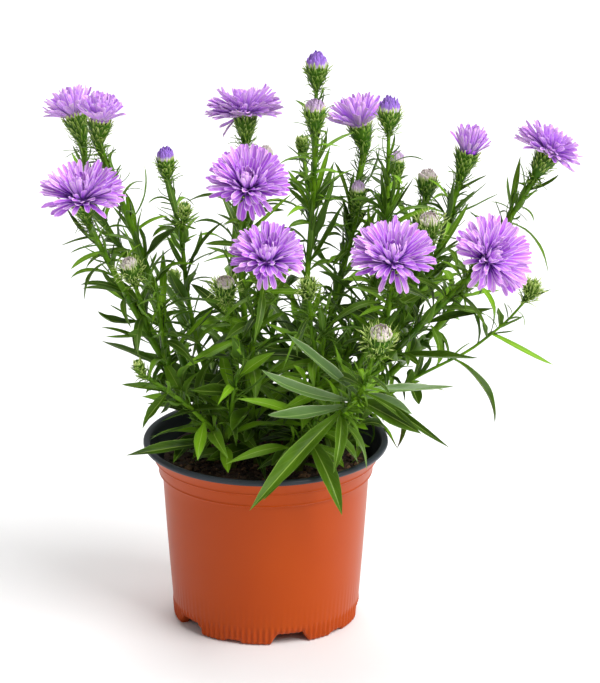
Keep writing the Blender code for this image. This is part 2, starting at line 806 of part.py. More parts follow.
def add_leaves(plant, node, twig, draw):
    """Add the leaves of a twig, turning round it by the golden angle."""
    line = twig_line(twig)
    lengths = [(b - a).length for a, b in zip(line, line[1:])]
    total = sum(lengths)
    turn = draw.uniform(0, 2 * math.pi)
    travelled = 5 * MM
    while travelled < total:
        left = travelled
        index = 0
        while left > lengths[index]:
            left -= lengths[index]
            index += 1
        point = line[index].lerp(line[index + 1], left / lengths[index])
        ahead = (line[index + 1] - line[index]).normalized()
        size = leaf_size(point.z, total - travelled, draw)
        travelled += LEAF_STEP * draw.uniform(0.8, 1.2)
        turn += GOLDEN_TURN
        if point.z > FIRST_LEAF_HEIGHT:
            add_leaf(plant, node, point, ahead, turn, size, draw)


def within_spread(blade):
    """Whether a leaf ends as near to the pot's axis as low leaves do."""
    tip = blade_frame(blade, 1.0)[0] / MM
    return all(tip.z > height or math.hypot(tip.x, tip.y) < radius for height, radius in SPREAD)


def add_leaf(plant, node, point, ahead, turn, size, draw):
    """Grow one leaf at a point of a stem, turned or shortened where it would meet another."""
    length, width, form = size
    side = across(ahead)
    other = ahead.cross(side)
    for attempt, sway in enumerate(LEAF_TURNS):
        outward = side * math.cos(turn + sway) + other * math.sin(turn + sway)
        tilt = math.radians(draw.uniform(*LEAF_TILT))
        along = ahead * math.cos(tilt) + outward * math.sin(tilt)
        upper = ahead * math.sin(tilt) - outward * math.cos(tilt)
        bend = draw.uniform(*LEAF_BEND)
        blade = Blade(point, along, upper, length * (1 - 0.06 * attempt), width, bend, form)
        if within_spread(blade) and plant.try_leaf(node, blade):
            return


def add_large_leaf(plant, reach):
    """Grow one of the large leaves from its stem to its tip, moved a little where it would meet another."""
    line = twig_line(SHOOTS[reach.shoot][0])
    index = next(i for i, p in enumerate(line) if p.z >= reach.height * MM) - 1
    share = (reach.height * MM - line[index].z) / (line[index + 1].z - line[index].z)
    root = line[index].lerp(line[index + 1], share)
    sky = UP + (Vector((root.x, root.y, 0.0)).normalized() + FRONT) * LIGHT_LEAN
    form = Form.LARGE if reach.width >= NARROW_LEAF else Form.LINEAR
    for shift in TIP_SHIFTS:
        chord = place(reach.tip) + place(shift) - root
        direct = chord.normalized()
        lifted = (sky - direct * direct.dot(sky)).normalized()
        half = reach.arch / 2
        along = direct * math.cos(half) + lifted * math.sin(half)
        upper = lifted * math.cos(half) - direct * math.sin(half)
        length = chord.length * half / math.sin(half)
        blade = Blade(root, along, upper, length, reach.width * MM, reach.arch, form)
        if plant.try_leaf(reach.shoot, blade):
            return


def notch_angles():
    """The angles round the pot, finer at each notch of its foot, with True where the foot is raised."""
    angles = []
    for notch in range(NOTCH_COUNT):
        middle = NOTCH_AT + 2 * math.pi * notch / NOTCH_COUNT
        for step in SECTOR_STEPS:
            angles.append((middle + math.radians(step), abs(step) <= NOTCH_FLAT))
    return angles


def pot_inner_radius(height):
    """The radius of the pot's inner wall at a height."""
    if height > WALL_TOP:
        share = (height - WALL_TOP) / (POT_HEIGHT - LIP_HEIGHT - WALL_TOP)
        return WALL_TOP_RADIUS - WALL + share * (COLLAR_TOP_RADIUS - WALL_TOP_RADIUS)
    share = (height - FLOOR_TOP) / (WALL_TOP - FLOOR_TOP)
    return FOOT_RADIUS + share * (WALL_TOP_RADIUS - WALL - FOOT_RADIUS)


def pot_shell():
    """The pot: notched foot, tapered wall, collar and lip, all one shell with a raised floor."""
    lip_base = POT_HEIGHT - LIP_HEIGHT
    profile = (
        (PAD_RADIUS, 0.0, False),
        (PAD_RADIUS + 1.0 * MM, FLOOR_UNDERSIDE, False),
        (FOOT_INNER_RADIUS - 0.8 * MM, FLOOR_UNDERSIDE, False),
        (FOOT_INNER_RADIUS, 0.0, True),
        (FOOT_RADIUS, 0.0, True),
        (FOOT_RADIUS + 1.2 * MM, 1.8 * MM, True),
        (WALL_TOP_RADIUS, WALL_TOP, False),
        (WALL_TOP_RADIUS + 1.1 * MM, WALL_TOP + 0.9 * MM, False),
        (COLLAR_TOP_RADIUS, lip_base, False),
        (RIM_RADIUS, lip_base + 0.8 * MM, False),
        (RIM_RADIUS - 0.6 * MM, POT_HEIGHT, False),
        (RIM_RADIUS - LIP_WIDTH, POT_HEIGHT - 0.6 * MM, False),
        (pot_inner_radius(WALL_TOP), WALL_TOP, False),
        (pot_inner_radius(FLOOR_TOP), FLOOR_TOP, False),
    )
    rings = []
    for radius, height, foot in profile:
        ring = []
        for angle, raised in notch_angles():
            lift = NOTCH_HEIGHT if foot and raised else 0.0
            ring.append(Vector((radius * math.cos(angle), radius * math.sin(angle), height + lift)))
        rings.append(ring)
    return Shell().loft(rings)


def soil_shell():
    """The soil: it fills the pot and ends in a crumbly top."""
    draw = random.Random(5)
    low = FLOOR_TOP + GAP
    clearance = GAP + 0.6 * MM
    edge = pot_inner_radius(SOIL_TOP) - clearance
    rows = [
        (pot_inner_radius(low) - clearance, low, 0.0),
        (pot_inner_radius(WALL_TOP) - clearance, WALL_TOP, 0.0),
        (edge - 0.4 * MM, SOIL_TOP - 1.0 * MM, 0.0),
    ]
    rows += [(edge * share, SOIL_TOP, SOIL_RELIEF) for share in reversed(SOIL_RINGS)]
    rings = []
    for radius, height, relief in rows:
        ring = circle(UP * height, Vector((1.0, 0.0, 0.0)), Vector((0.0, 1.0, 0.0)), radius, SOIL_SIDES)
        for point in ring:
            point.z += draw.uniform(-relief, relief)
        rings.append(ring)
    rings.append([UP * SOIL_TOP])
    return Shell().loft(rings)


def shade(shape, edge_angle):
    """Shade an object smooth, but for its edges sharper than an angle in degrees."""
    shape.data.shade_smooth()
    shape.data.set_sharp_from_angle(angle=math.radians(edge_angle))


def new_object(name, shell, material):
    """An object made from a shell, with its material."""
    mesh = bpy.data.meshes.new(name)
    mesh.from_pydata([tuple(v) for v in shell.vertices], [], shell.faces)
    mesh.materials.append(material)
    shape = bpy.data.objects.new(name, mesh)
    bpy.context.scene.collection.objects.link(shape)
    return shape


def apply_boolean(shape, operation, others):
    """Join the others to a shape, or cut them from it, and remove them."""
    group = bpy.data.collections.new("joined")
    for other in others:
        bpy.context.scene.collection.objects.unlink(other)
        group.objects.link(other)
    bpy.context.scene.collection.children.link(group)
    step = shape.modifiers.new("join", "BOOLEAN")
    step.operation = operation
    step.operand_type = "COLLECTION"
    step.collection = group
    step.solver = "MANIFOLD"
    evaluated = shape.evaluated_get(bpy.context.evaluated_depsgraph_get())
    joined = bpy.data.meshes.new_from_object(evaluated)
    shape.modifiers.clear()
    old = shape.data
    shape.data = joined
    bpy.data.meshes.remove(old)
    joined.name = shape.name
    for other in others:
        mesh = other.data
        bpy.data.objects.remove(other)
        bpy.data.meshes.remove(mesh)
    bpy.data.collections.remove(group)


def keep_largest_body(shape):
    """Drop any loose scrap or closed pocket that joining has left."""
    mesh = shape.data
    leader = list(range(len(mesh.vertices)))

    def find(item):
        while leader[item] != item:
            leader[item] = leader[leader[item]]
            item = leader[item]
        return item

    for edge in mesh.edges:
        start, end = (find(v) for v in edge.vertices)
        leader[start] = end
    bodies = {}
    for vertex in mesh.vertices:
        bodies.setdefault(find(vertex.index), []).append(vertex.index)
    if len(bodies) == 1:
        return
    kept = sorted(max(bodies.values(), key=len))
    numbers = {old: new for new, old in enumerate(kept)}
    whole = bpy.data.meshes.new(shape.name)
    faces = [tuple(numbers[v] for v in p.vertices) for p in mesh.polygons if p.vertices[0] in numbers]
    whole.from_pydata([tuple(mesh.vertices[old].co) for old in kept], [], faces)
    whole.materials.append(mesh.materials[0])
    shape.data = whole
    bpy.data.meshes.remove(mesh)


def new_material(name, colour, roughness):
    """A plain material with its colour and roughness."""
    material = bpy.data.materials.new(name)
    material.use_nodes = True
    shader = material.node_tree.nodes["Principled BSDF"]
    shader.inputs["Base Color"].default_value = (*colour, 1.0)
    shader.inputs["Roughness"].default_value = roughness
    shader.inputs["Metallic"].default_value = 0.0
    return material


def build_pot(material):
    """The pot with its drain holes."""
    pot = new_object("pot", pot_shell(), material)
    drains = []
    for k in range(NOTCH_COUNT):
        angle = NOTCH_AT + 2 * math.pi * (k + 0.5) / NOTCH_COUNT
        foot = Vector((DRAIN_RING * math.cos(angle), DRAIN_RING * math.sin(angle), FLOOR_UNDERSIDE - 2 * MM))
        profile = [(DRAIN_RADIUS, 0.0), (DRAIN_RADIUS, FLOOR_TOP - FLOOR_UNDERSIDE + 4 * MM)]
        drains.append(new_object("drain", turned(foot, UP, profile, DRAIN_SIDES), material))
    apply_boolean(pot, "DIFFERENCE", drains)
    shade(pot, 30)


def build_soil(material):
    """The soil with a plain hole for each stem that stands in it."""
    soil = new_object("soil", soil_shell(), material)
    holes = []
    for twigs in SHOOTS.values():
        foot = place(twigs[0].route[0])
        foot.z = STEM_DEPTH - GAP
        radius = twigs[0].girth * MM / math.cos(math.pi / STEM_HOLE_SIDES) + GAP
        profile = [(radius, 0.0), (radius, 20 * MM)]
        holes.append(new_object("hole", turned(foot, UP, profile, STEM_HOLE_SIDES), material))
    apply_boolean(soil, "DIFFERENCE", holes)
    shade(soil, 60)


def lay_out():
    """Grow the whole plant: stems and heads first, then large leaves, bracts and the other leaves."""
    plant = Plant()
    plant.stand_clear_of("pot", pot_shell())
    plant.stand_clear_of("soil", soil_shell())
    stalks = [(node, twig) for node, twigs in SHOOTS.items() for twig in twigs]
    for node, twig in stalks:
        plant.add(node, stem_shell(twig))
    for node, twig in stalks:
        if twig.head and twig.head.node:
            plant.add(twig.head.node, flower_shell(twig.head, place(twig.route[-1])))
    for reach in LARGE_LEAVES:
        add_large_leaf(plant, reach)
    draw = random.Random(11)
    for node, twig in stalks:
        if twig.head and is_bud(twig.head) and twig.head.size >= BRISTLY_SIZE:
            add_bracts(plant, node, twig, draw)
    for node, twig in stalks:
        add_leaves(plant, node, twig, draw)
    return plant


def main():
    """Model the pot, the soil, the leafy shoots and the flower heads."""
    for shape in list(bpy.data.objects):
        bpy.data.objects.remove(shape)
    build_pot(new_material("pot_plastic", (0.44, 0.075, 0.02), 0.38))
    build_soil(new_material("potting_soil", (0.03, 0.015, 0.008), 0.95))
    green = new_material("leaf_green", (0.05, 0.16, 0.02), 0.5)
    lilac = new_material("petal_lilac", (0.5, 0.27, 0.85), 0.6)
    pale = new_material("petal_pale", (0.6, 0.58, 0.4), 0.6)
    for node, shells in lay_out().shells.items():
        material = green if node in SHOOTS else pale if node in PALE_BUDS else lilac
        shape = new_object(node, shells[0], material)
        if len(shells) > 1:
            apply_boolean(shape, "UNION", [new_object("piece", shell, material) for shell in shells[1:]])
            keep_largest_body(shape)
        shade(shape, 75)


main()
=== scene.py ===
"""A lilac aster in its nursery pot, dressed for a plain studio picture.

The plant grows by the same rule as its solids. Its stems, heads and large leaves stand where they are listed
here, and the other leaves follow from them. Places on the plant are in millimetres as (x, y, z), and place()
turns them into metres.
"""

from __future__ import annotations

import logging
import math
import random
from dataclasses import dataclass, field, replace
from enum import Enum
from functools import cache
from typing import Sequence

import bpy
from mathutils import Matrix, Vector, noise
from mathutils.bvhtree import BVHTree


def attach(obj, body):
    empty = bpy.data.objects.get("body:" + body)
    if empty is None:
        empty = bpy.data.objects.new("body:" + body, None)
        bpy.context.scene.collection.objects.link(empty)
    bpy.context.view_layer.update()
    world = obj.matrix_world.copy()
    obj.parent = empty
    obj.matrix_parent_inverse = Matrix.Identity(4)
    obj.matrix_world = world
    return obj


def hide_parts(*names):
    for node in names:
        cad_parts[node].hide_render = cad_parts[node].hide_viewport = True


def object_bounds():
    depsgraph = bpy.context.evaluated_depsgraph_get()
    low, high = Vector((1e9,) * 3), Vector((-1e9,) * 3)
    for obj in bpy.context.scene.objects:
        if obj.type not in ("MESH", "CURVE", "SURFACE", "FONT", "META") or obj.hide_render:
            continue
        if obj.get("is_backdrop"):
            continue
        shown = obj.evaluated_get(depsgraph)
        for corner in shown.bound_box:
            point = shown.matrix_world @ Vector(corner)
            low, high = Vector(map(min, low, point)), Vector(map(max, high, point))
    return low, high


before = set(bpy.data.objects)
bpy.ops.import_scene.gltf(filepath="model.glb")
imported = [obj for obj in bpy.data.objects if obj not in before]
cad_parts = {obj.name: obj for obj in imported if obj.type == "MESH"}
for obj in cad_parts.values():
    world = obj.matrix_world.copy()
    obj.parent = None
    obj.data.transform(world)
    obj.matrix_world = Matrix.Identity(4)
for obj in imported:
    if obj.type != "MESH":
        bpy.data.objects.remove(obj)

log = logging.getLogger("potted_aster")

MM = 0.001
UP = Vector((0.0, 0.0, 1.0))
BACK = Vector((0.0, 1.0, 0.0))
FULL_TURN = 2 * math.pi
GOLDEN_TURN = math.radians(137.5)

Pair = tuple[float, float]
Point = tuple[float, float, float]
Colour = tuple[float, float, float, float]
Line = list[Vector]
Marks = list[tuple[float, float, float, float]]
Socket = bpy.types.NodeSocket
Material = bpy.types.Material
NodeTree = bpy.types.ShaderNodeTree
Object = bpy.types.Object


def place(point: Sequence[float]) -> Vector:
    """A point in metres from (x, y, z) in millimetres."""
    return Vector(point) * MM


def paint(red: int, green: int, blue: int) -> Colour:
    """Turn a colour as it shows on a screen, from 0 to 255, into linear light.

    Args:
        red: The red part.
        green: The green part.
        blue: The blue part.

    Returns:
        The same colour as shaders take it, with full cover.
    """
    parts = [value / 255 for value in (red, green, blue)]
    linear = [v / 12.92 if v <= 0.04045 else ((v + 0.055) / 1.055) ** 2.4 for v in parts]
    return (linear[0], linear[1], linear[2], 1.0)


def swing(first: Vector, second: Vector, angle: float) -> Vector:
    """The direction at an angle from the first of two square ones towards the second."""
    return first * math.cos(angle) + second * math.sin(angle)


def turn_both(first: Vector, second: Vector, angle: float) -> tuple[Vector, Vector]:
    """Two square directions turned by an angle, the first towards the second."""
    return swing(first, second, angle), swing(second, -first, angle)


def across(direction: Vector) -> Vector:
    """Find a unit vector square to a direction, and level where it can be.

    Args:
        direction: The direction.

    Returns:
        The unit vector.
    """
    side = direction.cross(UP)
    upright = side.length < 0.05
    return (direction.cross(BACK) if upright else side).normalized()


def around(ahead: Vector, turn: float) -> Vector:
    """The direction out of a stem, or out of a head's middle, at a turn round it in radians."""
    side = across(ahead)
    return swing(side, ahead.cross(side), turn)


def rings_along(points: Line, radii: list[float], sides: int) -> list[Line]:
    """Find rings of points round a line, which don't twist from one to the next.

    Args:
        points: The line.
        radii: The radius at each point; 0 is a tip.
        sides: How many points a ring has.

    Returns:
        The rings, with one point at a tip.
    """
    side = across(points[1] - points[0])
    last = len(points) - 1
    rings = []
    for index, (point, radius) in enumerate(zip(points, radii)):
        ahead = (points[min(index + 1, last)] - points[max(index - 1, 0)]).normalized()
        side = (side - ahead * side.dot(ahead)).normalized()
        other = ahead.cross(side)
        ring = [point + swing(side, other, FULL_TURN * k / sides) * radius for k in range(sides)]
        rings.append(ring if radius else [point])
    return rings


def length_of(line: Line) -> float:
    """The length of a line."""
    return sum((b - a).length for a, b in zip(line, line[1:]))


def spot_on(line: Line, travelled: float) -> tuple[Vector, Vector]:
    """Find a point of a line.

    Args:
        line: The line.
        travelled: How far from its start the point lies.

    Returns:
        The point, and the way the line goes there.
    """
    for start, end in zip(line, line[1:]):
        span = (end - start).length
        if travelled <= span:
            return start.lerp(end, travelled / span), (end - start).normalized()
        travelled -= span
    return line[-1], (line[-1] - line[-2]).normalized()


def value_at(outline: Sequence[Pair], share: float) -> float:
    """Read a value off an outline.

    Args:
        outline: Its corners as (share, value).
        share: Where the value is wanted.

    Returns:
        The value between the two corners there.
    """
    for (low, start), (high, end) in zip(outline, outline[1:]):
        if share <= high:
            return start + (end - start) * ((share - low) / (high - low))
    return outline[-1][1]


class Form(Enum):
    """What a blade is, which sets its outline."""

    LARGE = "large leaf"
    LEAF = "leaf"
    LINEAR = "linear leaf"
    SHORT = "short leaf or bract"
    PETAL = "petal"
    BUD_PETAL = "petal of a bud"


class Kind(Enum):
    """What a head is: how far it has opened."""

    OPEN = "open bloom"
    FAN = "half-open bloom"
    BRUSH = "bloom just unfolding"
    TUFT = "bud that shows its petals"
    GREEN = "closed green bud"


# The green cup below each kind of head: its radius and length in millimetres
HEAD_CUPS = {
    Kind.OPEN: (5.4, 10.0),
    Kind.FAN: (5.4, 11.0),
    Kind.BRUSH: (5.4, 11.0),
    Kind.TUFT: (4.8, 8.5),
    Kind.GREEN: (3.6, 6.0),
}


@dataclass(frozen=True)
class Head:
    """A flower head at the end of a twig, with its width in millimetres. A green bud has no node name."""

    node: str
    kind: Kind
    facing: Point
    size: float

    @property
    def bud(self) -> bool:
        """Whether it is still a bud."""
        return self.kind in (Kind.TUFT, Kind.GREEN)

    @property
    def scale(self) -> float:
        """How large a bud is beside one that is 10 mm wide; blooms keep their cups whole."""
        return self.size / 10 if self.bud else 1.0

    @property
    def cup(self) -> Pair:
        """The radius and length of its green cup."""
        radius, length = HEAD_CUPS[self.kind]
        return radius * self.scale * MM, length * MM

    @property
    def ahead(self) -> Vector:
        """The way it looks, as a unit vector."""
        return Vector(self.facing).normalized()


# The stems: the girth of a main one, the height of their feet, how deep they go and how thin they end
MAIN = 1.9
STEM_FOOT = 85
STEM_DEPTH = 71.0 * MM
BLOOM_NECK = 1.3
BUD_NECK = 0.9


@dataclass(frozen=True)
class Twig:
    """A stem or side stem: its route from the root up, its head, and its radius at the root in millimetres."""

    route: tuple[Point, ...]
    head: Head | None = None
    girth: float = 1.25

    @property
    def cup_base(self) -> Vector:
        """Where the stem ends and the green cup of the head starts."""
        return place(self.route[-1]) - self.head.ahead * self.head.cup[1]

    @property
    def line(self) -> Line:
        """The line from the root to the foot of the head."""
        end = self.cup_base if self.head else place(self.route[-1])
        return [place(p) for p in self.route[:-1]] + [end]

    def stem(self) -> tuple[Line, list[float]]:
        """Find the stem's line, which goes on into the soil where it is a main one.

        Returns:
            Its points, and its radius at each.
        """
        points = self.line
        neck = min(BUD_NECK if self.head is None or self.head.bud else BLOOM_NECK, self.girth)
        last = len(points) - 1
        radii = [(self.girth + (neck - self.girth) * i / last) * MM for i in range(last + 1)]
        if self.route[0][2] == STEM_FOOT:
            points.insert(0, Vector((points[0].x, points[0].y, STEM_DEPTH)))
            radii.insert(0, radii[0])
        return points, radii


@dataclass(frozen=True)
class Blade:
    """A leaf, petal or bract as an arc in space, in metres. A positive bend, in radians, curves it down."""

    root: Vector
    along: Vector
    upper: Vector
    length: float
    width: float
    bend: float
    form: Form

    def at(self, share: float) -> tuple[Vector, Vector]:
        """Find the middle of the blade and the way its upper face looks.

        Args:
            share: How far along the blade, from 0 to 1.

        Returns:
            The middle point, and a unit vector out of the upper face.
        """
        angle = self.bend * share
        if abs(self.bend) < 0.01:
            forward, drop = self.length * share, 0.0
        else:
            radius = self.length / self.bend
            forward, drop = radius * math.sin(angle), radius * (1 - math.cos(angle))
        return self.root + self.along * forward - self.upper * drop, swing(self.upper, self.along, angle)


@dataclass(frozen=True)
class Reach:
    """A large leaf given by the height of its root on a shoot's main stem and by its tip, in millimetres."""

    shoot: str
    height: float
    tip: Point
    width: float
    arch: float


@dataclass(frozen=True)
class Spot:
    """A place on a shoot's stem where a leaf may grow, with its turn round the stem in radians."""

    node: str
    root: Vector
    ahead: Vector
    turn: float

    def blade(self, sway: float, lean: float, length: float, width: float, bend: float, form: Form) -> Blade:
        """Find the arc of a leaf that grows here.

        Args:
            sway: How far it is turned past the way it would point, in radians.
            lean: How far it leans off the stem, in degrees.
            length: Its length in metres.
            width: Its width in metres.
            bend: How far it curves, in radians.
            form: What it is.

        Returns:
            The blade.
        """
        outward = around(self.ahead, self.turn + sway)
        upper, along = turn_both(-outward, self.ahead, math.radians(lean))
        return Blade(self.root, along, upper, length, width, bend, form)


@dataclass(frozen=True)
class Zone:
    """The leaves above one height, with sizes in millimetres, leans in degrees and bends in radians."""

    low: float
    step: float
    lengths: Pair
    widths: Pair
    leans: Pair
    bends: Pair
    form: Form = Form.LEAF

    def size(self, draw: random.Random) -> Pair:
        """Draw a leaf's length and width, in metres."""
        return draw.uniform(*self.lengths) * MM, draw.uniform(*self.widths) * MM

    def strong_bend(self, draw: random.Random) -> float:
        """Draw a leaf's bend, more often a strong one than a weak one.

        Args:
            draw: The source of chance.

        Returns:
            The bend in radians.
        """
        bend = self.bends[0] + (self.bends[1] - self.bends[0]) * draw.random()
        limit = self.bends[1] if bend > 0 else self.bends[0]
        return math.copysign(math.sqrt(abs(bend * limit)), bend)


SHOOTS = {
    "shoot_left_front": (
        Twig(((-26, -8, 85), (-38, -10, 113), (-51, -12, 139), (-64, -18, 166), (-77, -23, 194), (-87, -28, 223)),
            Head("bloom_left_front", Kind.OPEN, (-0.12, -0.27, 0.96), 42), MAIN),
        Twig(((-56, -14, 150), (-60, -22, 170), (-65, -30, 191)), Head("bud_left_front", Kind.TUFT,
            (-0.2, -0.3, 0.93), 9)),
        Twig(((-46, -11, 128), (-50, -24, 156), (-53, -34, 188))),
    ),
    "shoot_left_back": (
        Twig(((-22, 5, 85), (-40, 2, 130), (-52, -2, 165), (-61, -4, 192), (-70, -6, 218), (-79, -6, 256)),
            Head("bloom_left_back", Kind.FAN, (0.12, 0.0, 0.99), 27), MAIN),
        Twig(((-55, -3, 174), (-70, 2, 188), (-85, 9, 212), (-92, 18, 250)), Head("bloom_far_left", Kind.FAN,
            (-0.32, 0.3, 0.9), 31), 1.4),
    ),
    "shoot_left_mid": (
        Twig(((-13, -3, 85), (-25, -2, 115), (-33, -2, 140), (-38, 1, 165), (-40, 2, 190), (-48, 8, 232)),
            Head("bud_left_tall", Kind.TUFT, (-0.05, 0.0, 1.0), 9), 1.6),
        Twig(((-40, 2, 188), (-41, -5, 200), (-39, -12, 214)), Head("", Kind.GREEN, (0.0, -0.1, 1.0), 8)),
    ),
    "shoot_centre_back": (
        Twig(((-8, 13, 85), (-15, 13, 120), (-18, 14, 148), (-16, 24, 172), (-14, 34, 198), (-10, 48, 240)),
            Head("bloom_centre_back", Kind.OPEN, (-0.05, 0.3, 0.95), 39), 2.1),
        Twig(((-14, 33, 192), (-6, 46, 205), (0, 62, 216)), Head("bud_centre_back", Kind.TUFT, (0.0, 0.2, 0.95),
            7)),
    ),
    "shoot_centre_front": (
        Twig(((-4, -13, 85), (-8, -14, 122), (-10, -15, 160), (-12, -18, 189), (-10, -27, 212), (-8, -45, 235)),
            Head("bloom_centre", Kind.OPEN, (0.0, -0.6, 0.8), 41), MAIN),
        Twig(((-8, -14, 128), (-5, -28, 158), (-2, -44, 182), (1, -64, 205)), Head("bloom_low_centre", Kind.OPEN,
            (0.03, -0.5, 0.87), 37), 1.5),
        Twig(((-10, -15, 146), (-16, -30, 165), (-19, -42, 186)), Head("bud_low_left", Kind.TUFT,
            (0.0, -0.35, 0.93), 10)),
    ),
    "shoot_top": (
        Twig(((10, 4, 85), (14, 3, 118), (18, 4, 146), (21, 9, 180), (23, 15, 209), (24, 22, 238), (25, 30, 272)),
            Head("bud_top", Kind.TUFT, (0.02, 0.0, 1.0), 11), MAIN),
        Twig(((23, 14, 205), (24, 5, 228), (24, -4, 261)), Head("bud_top_front", Kind.TUFT, (0.0, -0.05, 1.0), 11)),
        Twig(((22, 13, 200), (20, 30, 214), (18, 43, 230)), Head("", Kind.GREEN, (-0.1, 0.2, 0.97), 8)),
    ),
    "shoot_back_right": (
        Twig(((16, 14, 85), (23, 13, 118), (31, 14, 146), (39, 22, 176), (44, 32, 205), (46, 44, 237)),
            Head("bloom_back_right", Kind.FAN, (-0.22, 0.15, 0.96), 34), MAIN),
        Twig(((40, 23, 178), (44, 17, 198), (45, 14, 214)), Head("bud_mid_right", Kind.TUFT, (0.0, -0.05, 1.0), 7)),
    ),
    "shoot_right_centre": (
        Twig(((20, 1, 85), (30, -1, 112), (41, -3, 138), (54, 0, 168), (59, 4, 206), (60, 10, 256)),
            Head("bud_right_tall", Kind.TUFT, (0.04, 0.0, 1.0), 11), MAIN),
        Twig(((59, 3, 200), (62, 14, 214), (64, 23, 226)), Head("bud_right_small", Kind.TUFT, (0.05, 0.1, 1.0), 7)),
    ),
    "shoot_right_front": (
        Twig(((14, -11, 85), (34, -15, 118), (57, -24, 156), (61, -38, 180), (61, -57, 202)),
            Head("bloom_right_front", Kind.OPEN, (0.0, -0.5, 0.87), 42), MAIN),
        Twig(((18, -12, 92), (24, -22, 122), (28, -32, 150), (30, -38, 178))),
        Twig(((26, -28, 138), (22, -34, 162), (21, -48, 188)), Head("", Kind.GREEN, (0.0, -0.35, 0.93), 9)),
    ),
    "shoot_right_mid": (
        Twig(((26, -8, 85), (48, -13, 124), (68, -19, 149), (83, -25, 168), (96, -36, 185), (106, -50, 201)),
            Head("bloom_right", Kind.OPEN, (0.4, -0.72, 0.56), 42), MAIN),
        Twig(((60, -16, 139), (70, -13, 165), (77, -11, 190), (79, -15, 208)), Head("bud_right_mid", Kind.TUFT,
            (0.05, -0.2, 0.97), 11)),
    ),
    "shoot_right_back": (
        Twig(((22, 9, 85), (38, 7, 112), (53, 5, 134), (73, 7, 158), (83, 10, 182), (90, 13, 204), (98, 16, 233)),
            Head("bloom_right_back", Kind.BRUSH, (0.25, 0.0, 0.97), 22), MAIN),
        Twig(((66, 6, 150), (70, 18, 174), (74, 27, 197), (79, 34, 213)), Head("bud_right_back", Kind.TUFT,
            (0.05, 0.1, 1.0), 10)),
    ),
    "shoot_far_right": (
        Twig(((30, 3, 85), (56, 4, 118), (82, 6, 144), (100, 9, 168), (114, 10, 194), (126, 10, 214),
            (136, 8, 234)), Head("bloom_far_right", Kind.OPEN, (0.5, 0.25, 0.83), 38), MAIN),
    ),
    "shoot_low_right": (
        Twig(((34, -6, 85), (52, -10, 112), (74, -12, 128), (99, -12, 141), (117, -12, 156), (129, -14, 175)),
            Head("", Kind.GREEN, (0.3, -0.1, 0.95), 9), 1.5),
    ),
    "shoot_front": (
        Twig(((16, -24, 85), (24, -36, 106), (36, -52, 124), (46, -64, 138), (52, -76, 162), (55, -84, 175)),
            Head("bud_front", Kind.TUFT, (0.1, -0.3, 0.95), 12), MAIN),
    ),
    "shoot_low_front": (
        Twig(((4, -26, 85), (12, -33, 98), (22, -36, 108), (28, -40, 126)), None, 1.6),
    ),
    "shoot_low_left": (
        Twig(((-15, -18, 85), (-24, -26, 104), (-36, -34, 120), (-52, -34, 132), (-61, -34, 142)), Head("",
            Kind.GREEN, (-0.3, -0.1, 0.95), 6), 1.4),
        Twig(((-20, -22, 96), (-16, -32, 120), (-12, -38, 148))),
    ),
    "shoot_back_left": (
        Twig(((-18, 22, 85), (-28, 36, 112), (-40, 52, 138), (-46, 62, 154)), Head("", Kind.GREEN, (-0.2, 0.4, 0.9),
            8), 1.6),
        Twig(((-22, 27, 95), (-38, 28, 122), (-56, 32, 144))),
    ),
    "shoot_back": (
        Twig(((2, 28, 85), (2, 44, 112), (4, 60, 136), (6, 72, 150)), Head("", Kind.GREEN, (0.0, 0.5, 0.87), 8),
            1.6),
    ),
    "shoot_back_low_right": (
        Twig(((20, 26, 85), (32, 40, 112), (46, 52, 136), (54, 60, 152)), Head("", Kind.GREEN, (0.3, 0.4, 0.87), 8),
            1.6),
        Twig(((24, 30, 93), (46, 30, 116), (66, 34, 138))),
    ),
}

